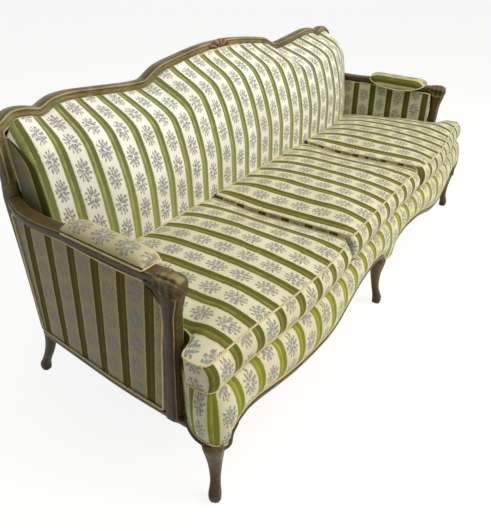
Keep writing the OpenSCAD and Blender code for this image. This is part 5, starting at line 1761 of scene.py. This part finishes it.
class SOFA_OT_stage(bpy.types.Operator):
    """Pale floor, soft lamps and the camera"""

    bl_idname = "sofa.stage"
    bl_label = "Stage"

    def execute(self, context):
        scene = context.scene
        stage = scene.sofa_stage
        scene.view_settings.view_transform = "Standard"
        place, aim = Vector(stage.camera_place), Vector(stage.camera_aim)
        ahead = (aim - place).normalized()
        right = ahead.cross(Vector((0, 0, 1))).normalized()
        up = right.cross(ahead)
        roll = math.radians(stage.camera_roll)
        side = math.cos(roll) * right + math.sin(roll) * up
        top = -math.sin(roll) * right + math.cos(roll) * up
        camera = bpy.data.objects.new("camera", bpy.data.cameras.new("camera"))
        camera.data.sensor_fit = "VERTICAL"
        camera.data.sensor_height = 36.0
        camera.data.lens = stage.focal_px / PICTURE_H_PX * 36.0
        camera.data.clip_end = 50
        turn = Matrix((side, top, -ahead)).transposed()
        camera.matrix_world = Matrix.Translation(place) @ turn.to_4x4()
        scene.collection.objects.link(camera)
        scene.camera = camera
        floor = bpy.data.objects.new("floor", bpy.data.meshes.new("floor"))
        floor.data.from_pydata([(-40, -40, 0), (40, -40, 0), (40, 40, 0), (-40, 40, 0)], [], [(0, 1, 2, 3)])
        material = bpy.data.materials.new("pale_floor")
        material.use_nodes = True
        tree = material.node_tree
        shader = tree.nodes["Principled BSDF"]
        shader.inputs["Base Color"].default_value = linear(stage.floor)
        shader.inputs["Roughness"].default_value = 0.9
        glow = put(tree, "Emission", (1, 1, 1, 1), 1.08)
        seen = maths(tree, "MULTIPLY", straight_rays(tree), 0.82)
        shown = put(tree, "MixShader", seen, shader, glow)
        tree.links.new(shown.outputs[0], tree.nodes["Material Output"].inputs["Surface"])
        floor.data.materials.append(material)
        scene.collection.objects.link(floor)
        world = bpy.data.worlds.new("room")
        scene.world = world
        world.use_nodes = True
        tree = world.node_tree
        room = tree.nodes["Background"]
        room.inputs["Color"].default_value = linear("#fbf7ee")
        room.inputs["Strength"].default_value = stage.room
        white = put(tree, "Background", (1, 1, 1, 1), 1.0)
        shown = put(tree, "MixShader", straight_rays(tree), room, white)
        tree.links.new(shown.outputs[0], tree.nodes["World Output"].inputs["Surface"])
        lamps = [
            ("key", (0.7, -3.5, 3.0), (-0.2, 0, 0.4), 2.2, stage.key_power, "#fff4e2"),
            ("fill", (-3.4, -1.6, 1.8), (-0.4, 0, 0.4), 2.5, stage.fill_power, "#fff1dc"),
            ("top", (0.0, -0.6, 3.4), (0.0, 0.0, 0.4), 3.0, stage.key_power * 0.45, "#fffdf6"),
        ]
        for name, spot, look, width, power, tint in lamps:
            lamp = bpy.data.lights.new(name, "AREA")
            lamp.size = width
            lamp.energy = power
            lamp.color = linear(tint)[:3]
            holder = bpy.data.objects.new(name, lamp)
            holder.location = spot
            holder.rotation_mode = "QUATERNION"
            holder.rotation_quaternion = (Vector(look) - Vector(spot)).to_track_quat("-Z", "Y")
            scene.collection.objects.link(holder)
        return {"FINISHED"}


class SOFA_PT_panel(bpy.types.Panel):
    """Lists the sofa's pieces and settings."""

    bl_label = "Sofa"
    bl_idname = "SOFA_PT_panel"
    bl_space_type = "VIEW_3D"
    bl_region_type = "UI"
    bl_category = "Sofa"

    def draw(self, context):
        for step in STEPS:
            self.layout.operator(step.bl_idname)
        for group in (context.scene.sofa_fabric, context.scene.sofa_wood, context.scene.sofa_stage):
            for key in group.__annotations__:
                self.layout.prop(group, key)


STEPS = [
    SOFA_OT_stage, SOFA_OT_crest, SOFA_OT_carving, SOFA_OT_legs, SOFA_OT_arm_frames, SOFA_OT_mouldings,
    SOFA_OT_apron, SOFA_OT_back, SOFA_OT_outside_back, SOFA_OT_arm_panels, SOFA_OT_armrests, SOFA_OT_cushions,
    SOFA_OT_carcass,
]
GROUPS = {"sofa_fabric": SOFA_PG_fabric, "sofa_wood": SOFA_PG_wood, "sofa_stage": SOFA_PG_stage}


def register():
    for c in [*GROUPS.values(), *STEPS, SOFA_PT_panel]:
        bpy.utils.register_class(c)
    for name, group in GROUPS.items():
        setattr(bpy.types.Scene, name, bpy.props.PointerProperty(type=group))


def unregister():
    for name in GROUPS:
        delattr(bpy.types.Scene, name)
    for c in [SOFA_PT_panel, *reversed(STEPS), *GROUPS.values()]:
        bpy.utils.unregister_class(c)


def main():
    """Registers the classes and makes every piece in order."""
    register()
    for step in STEPS:
        group, name = step.bl_idname.split(".")
        getattr(getattr(bpy.ops, group), name)()


if __name__ == "__main__":
    main()
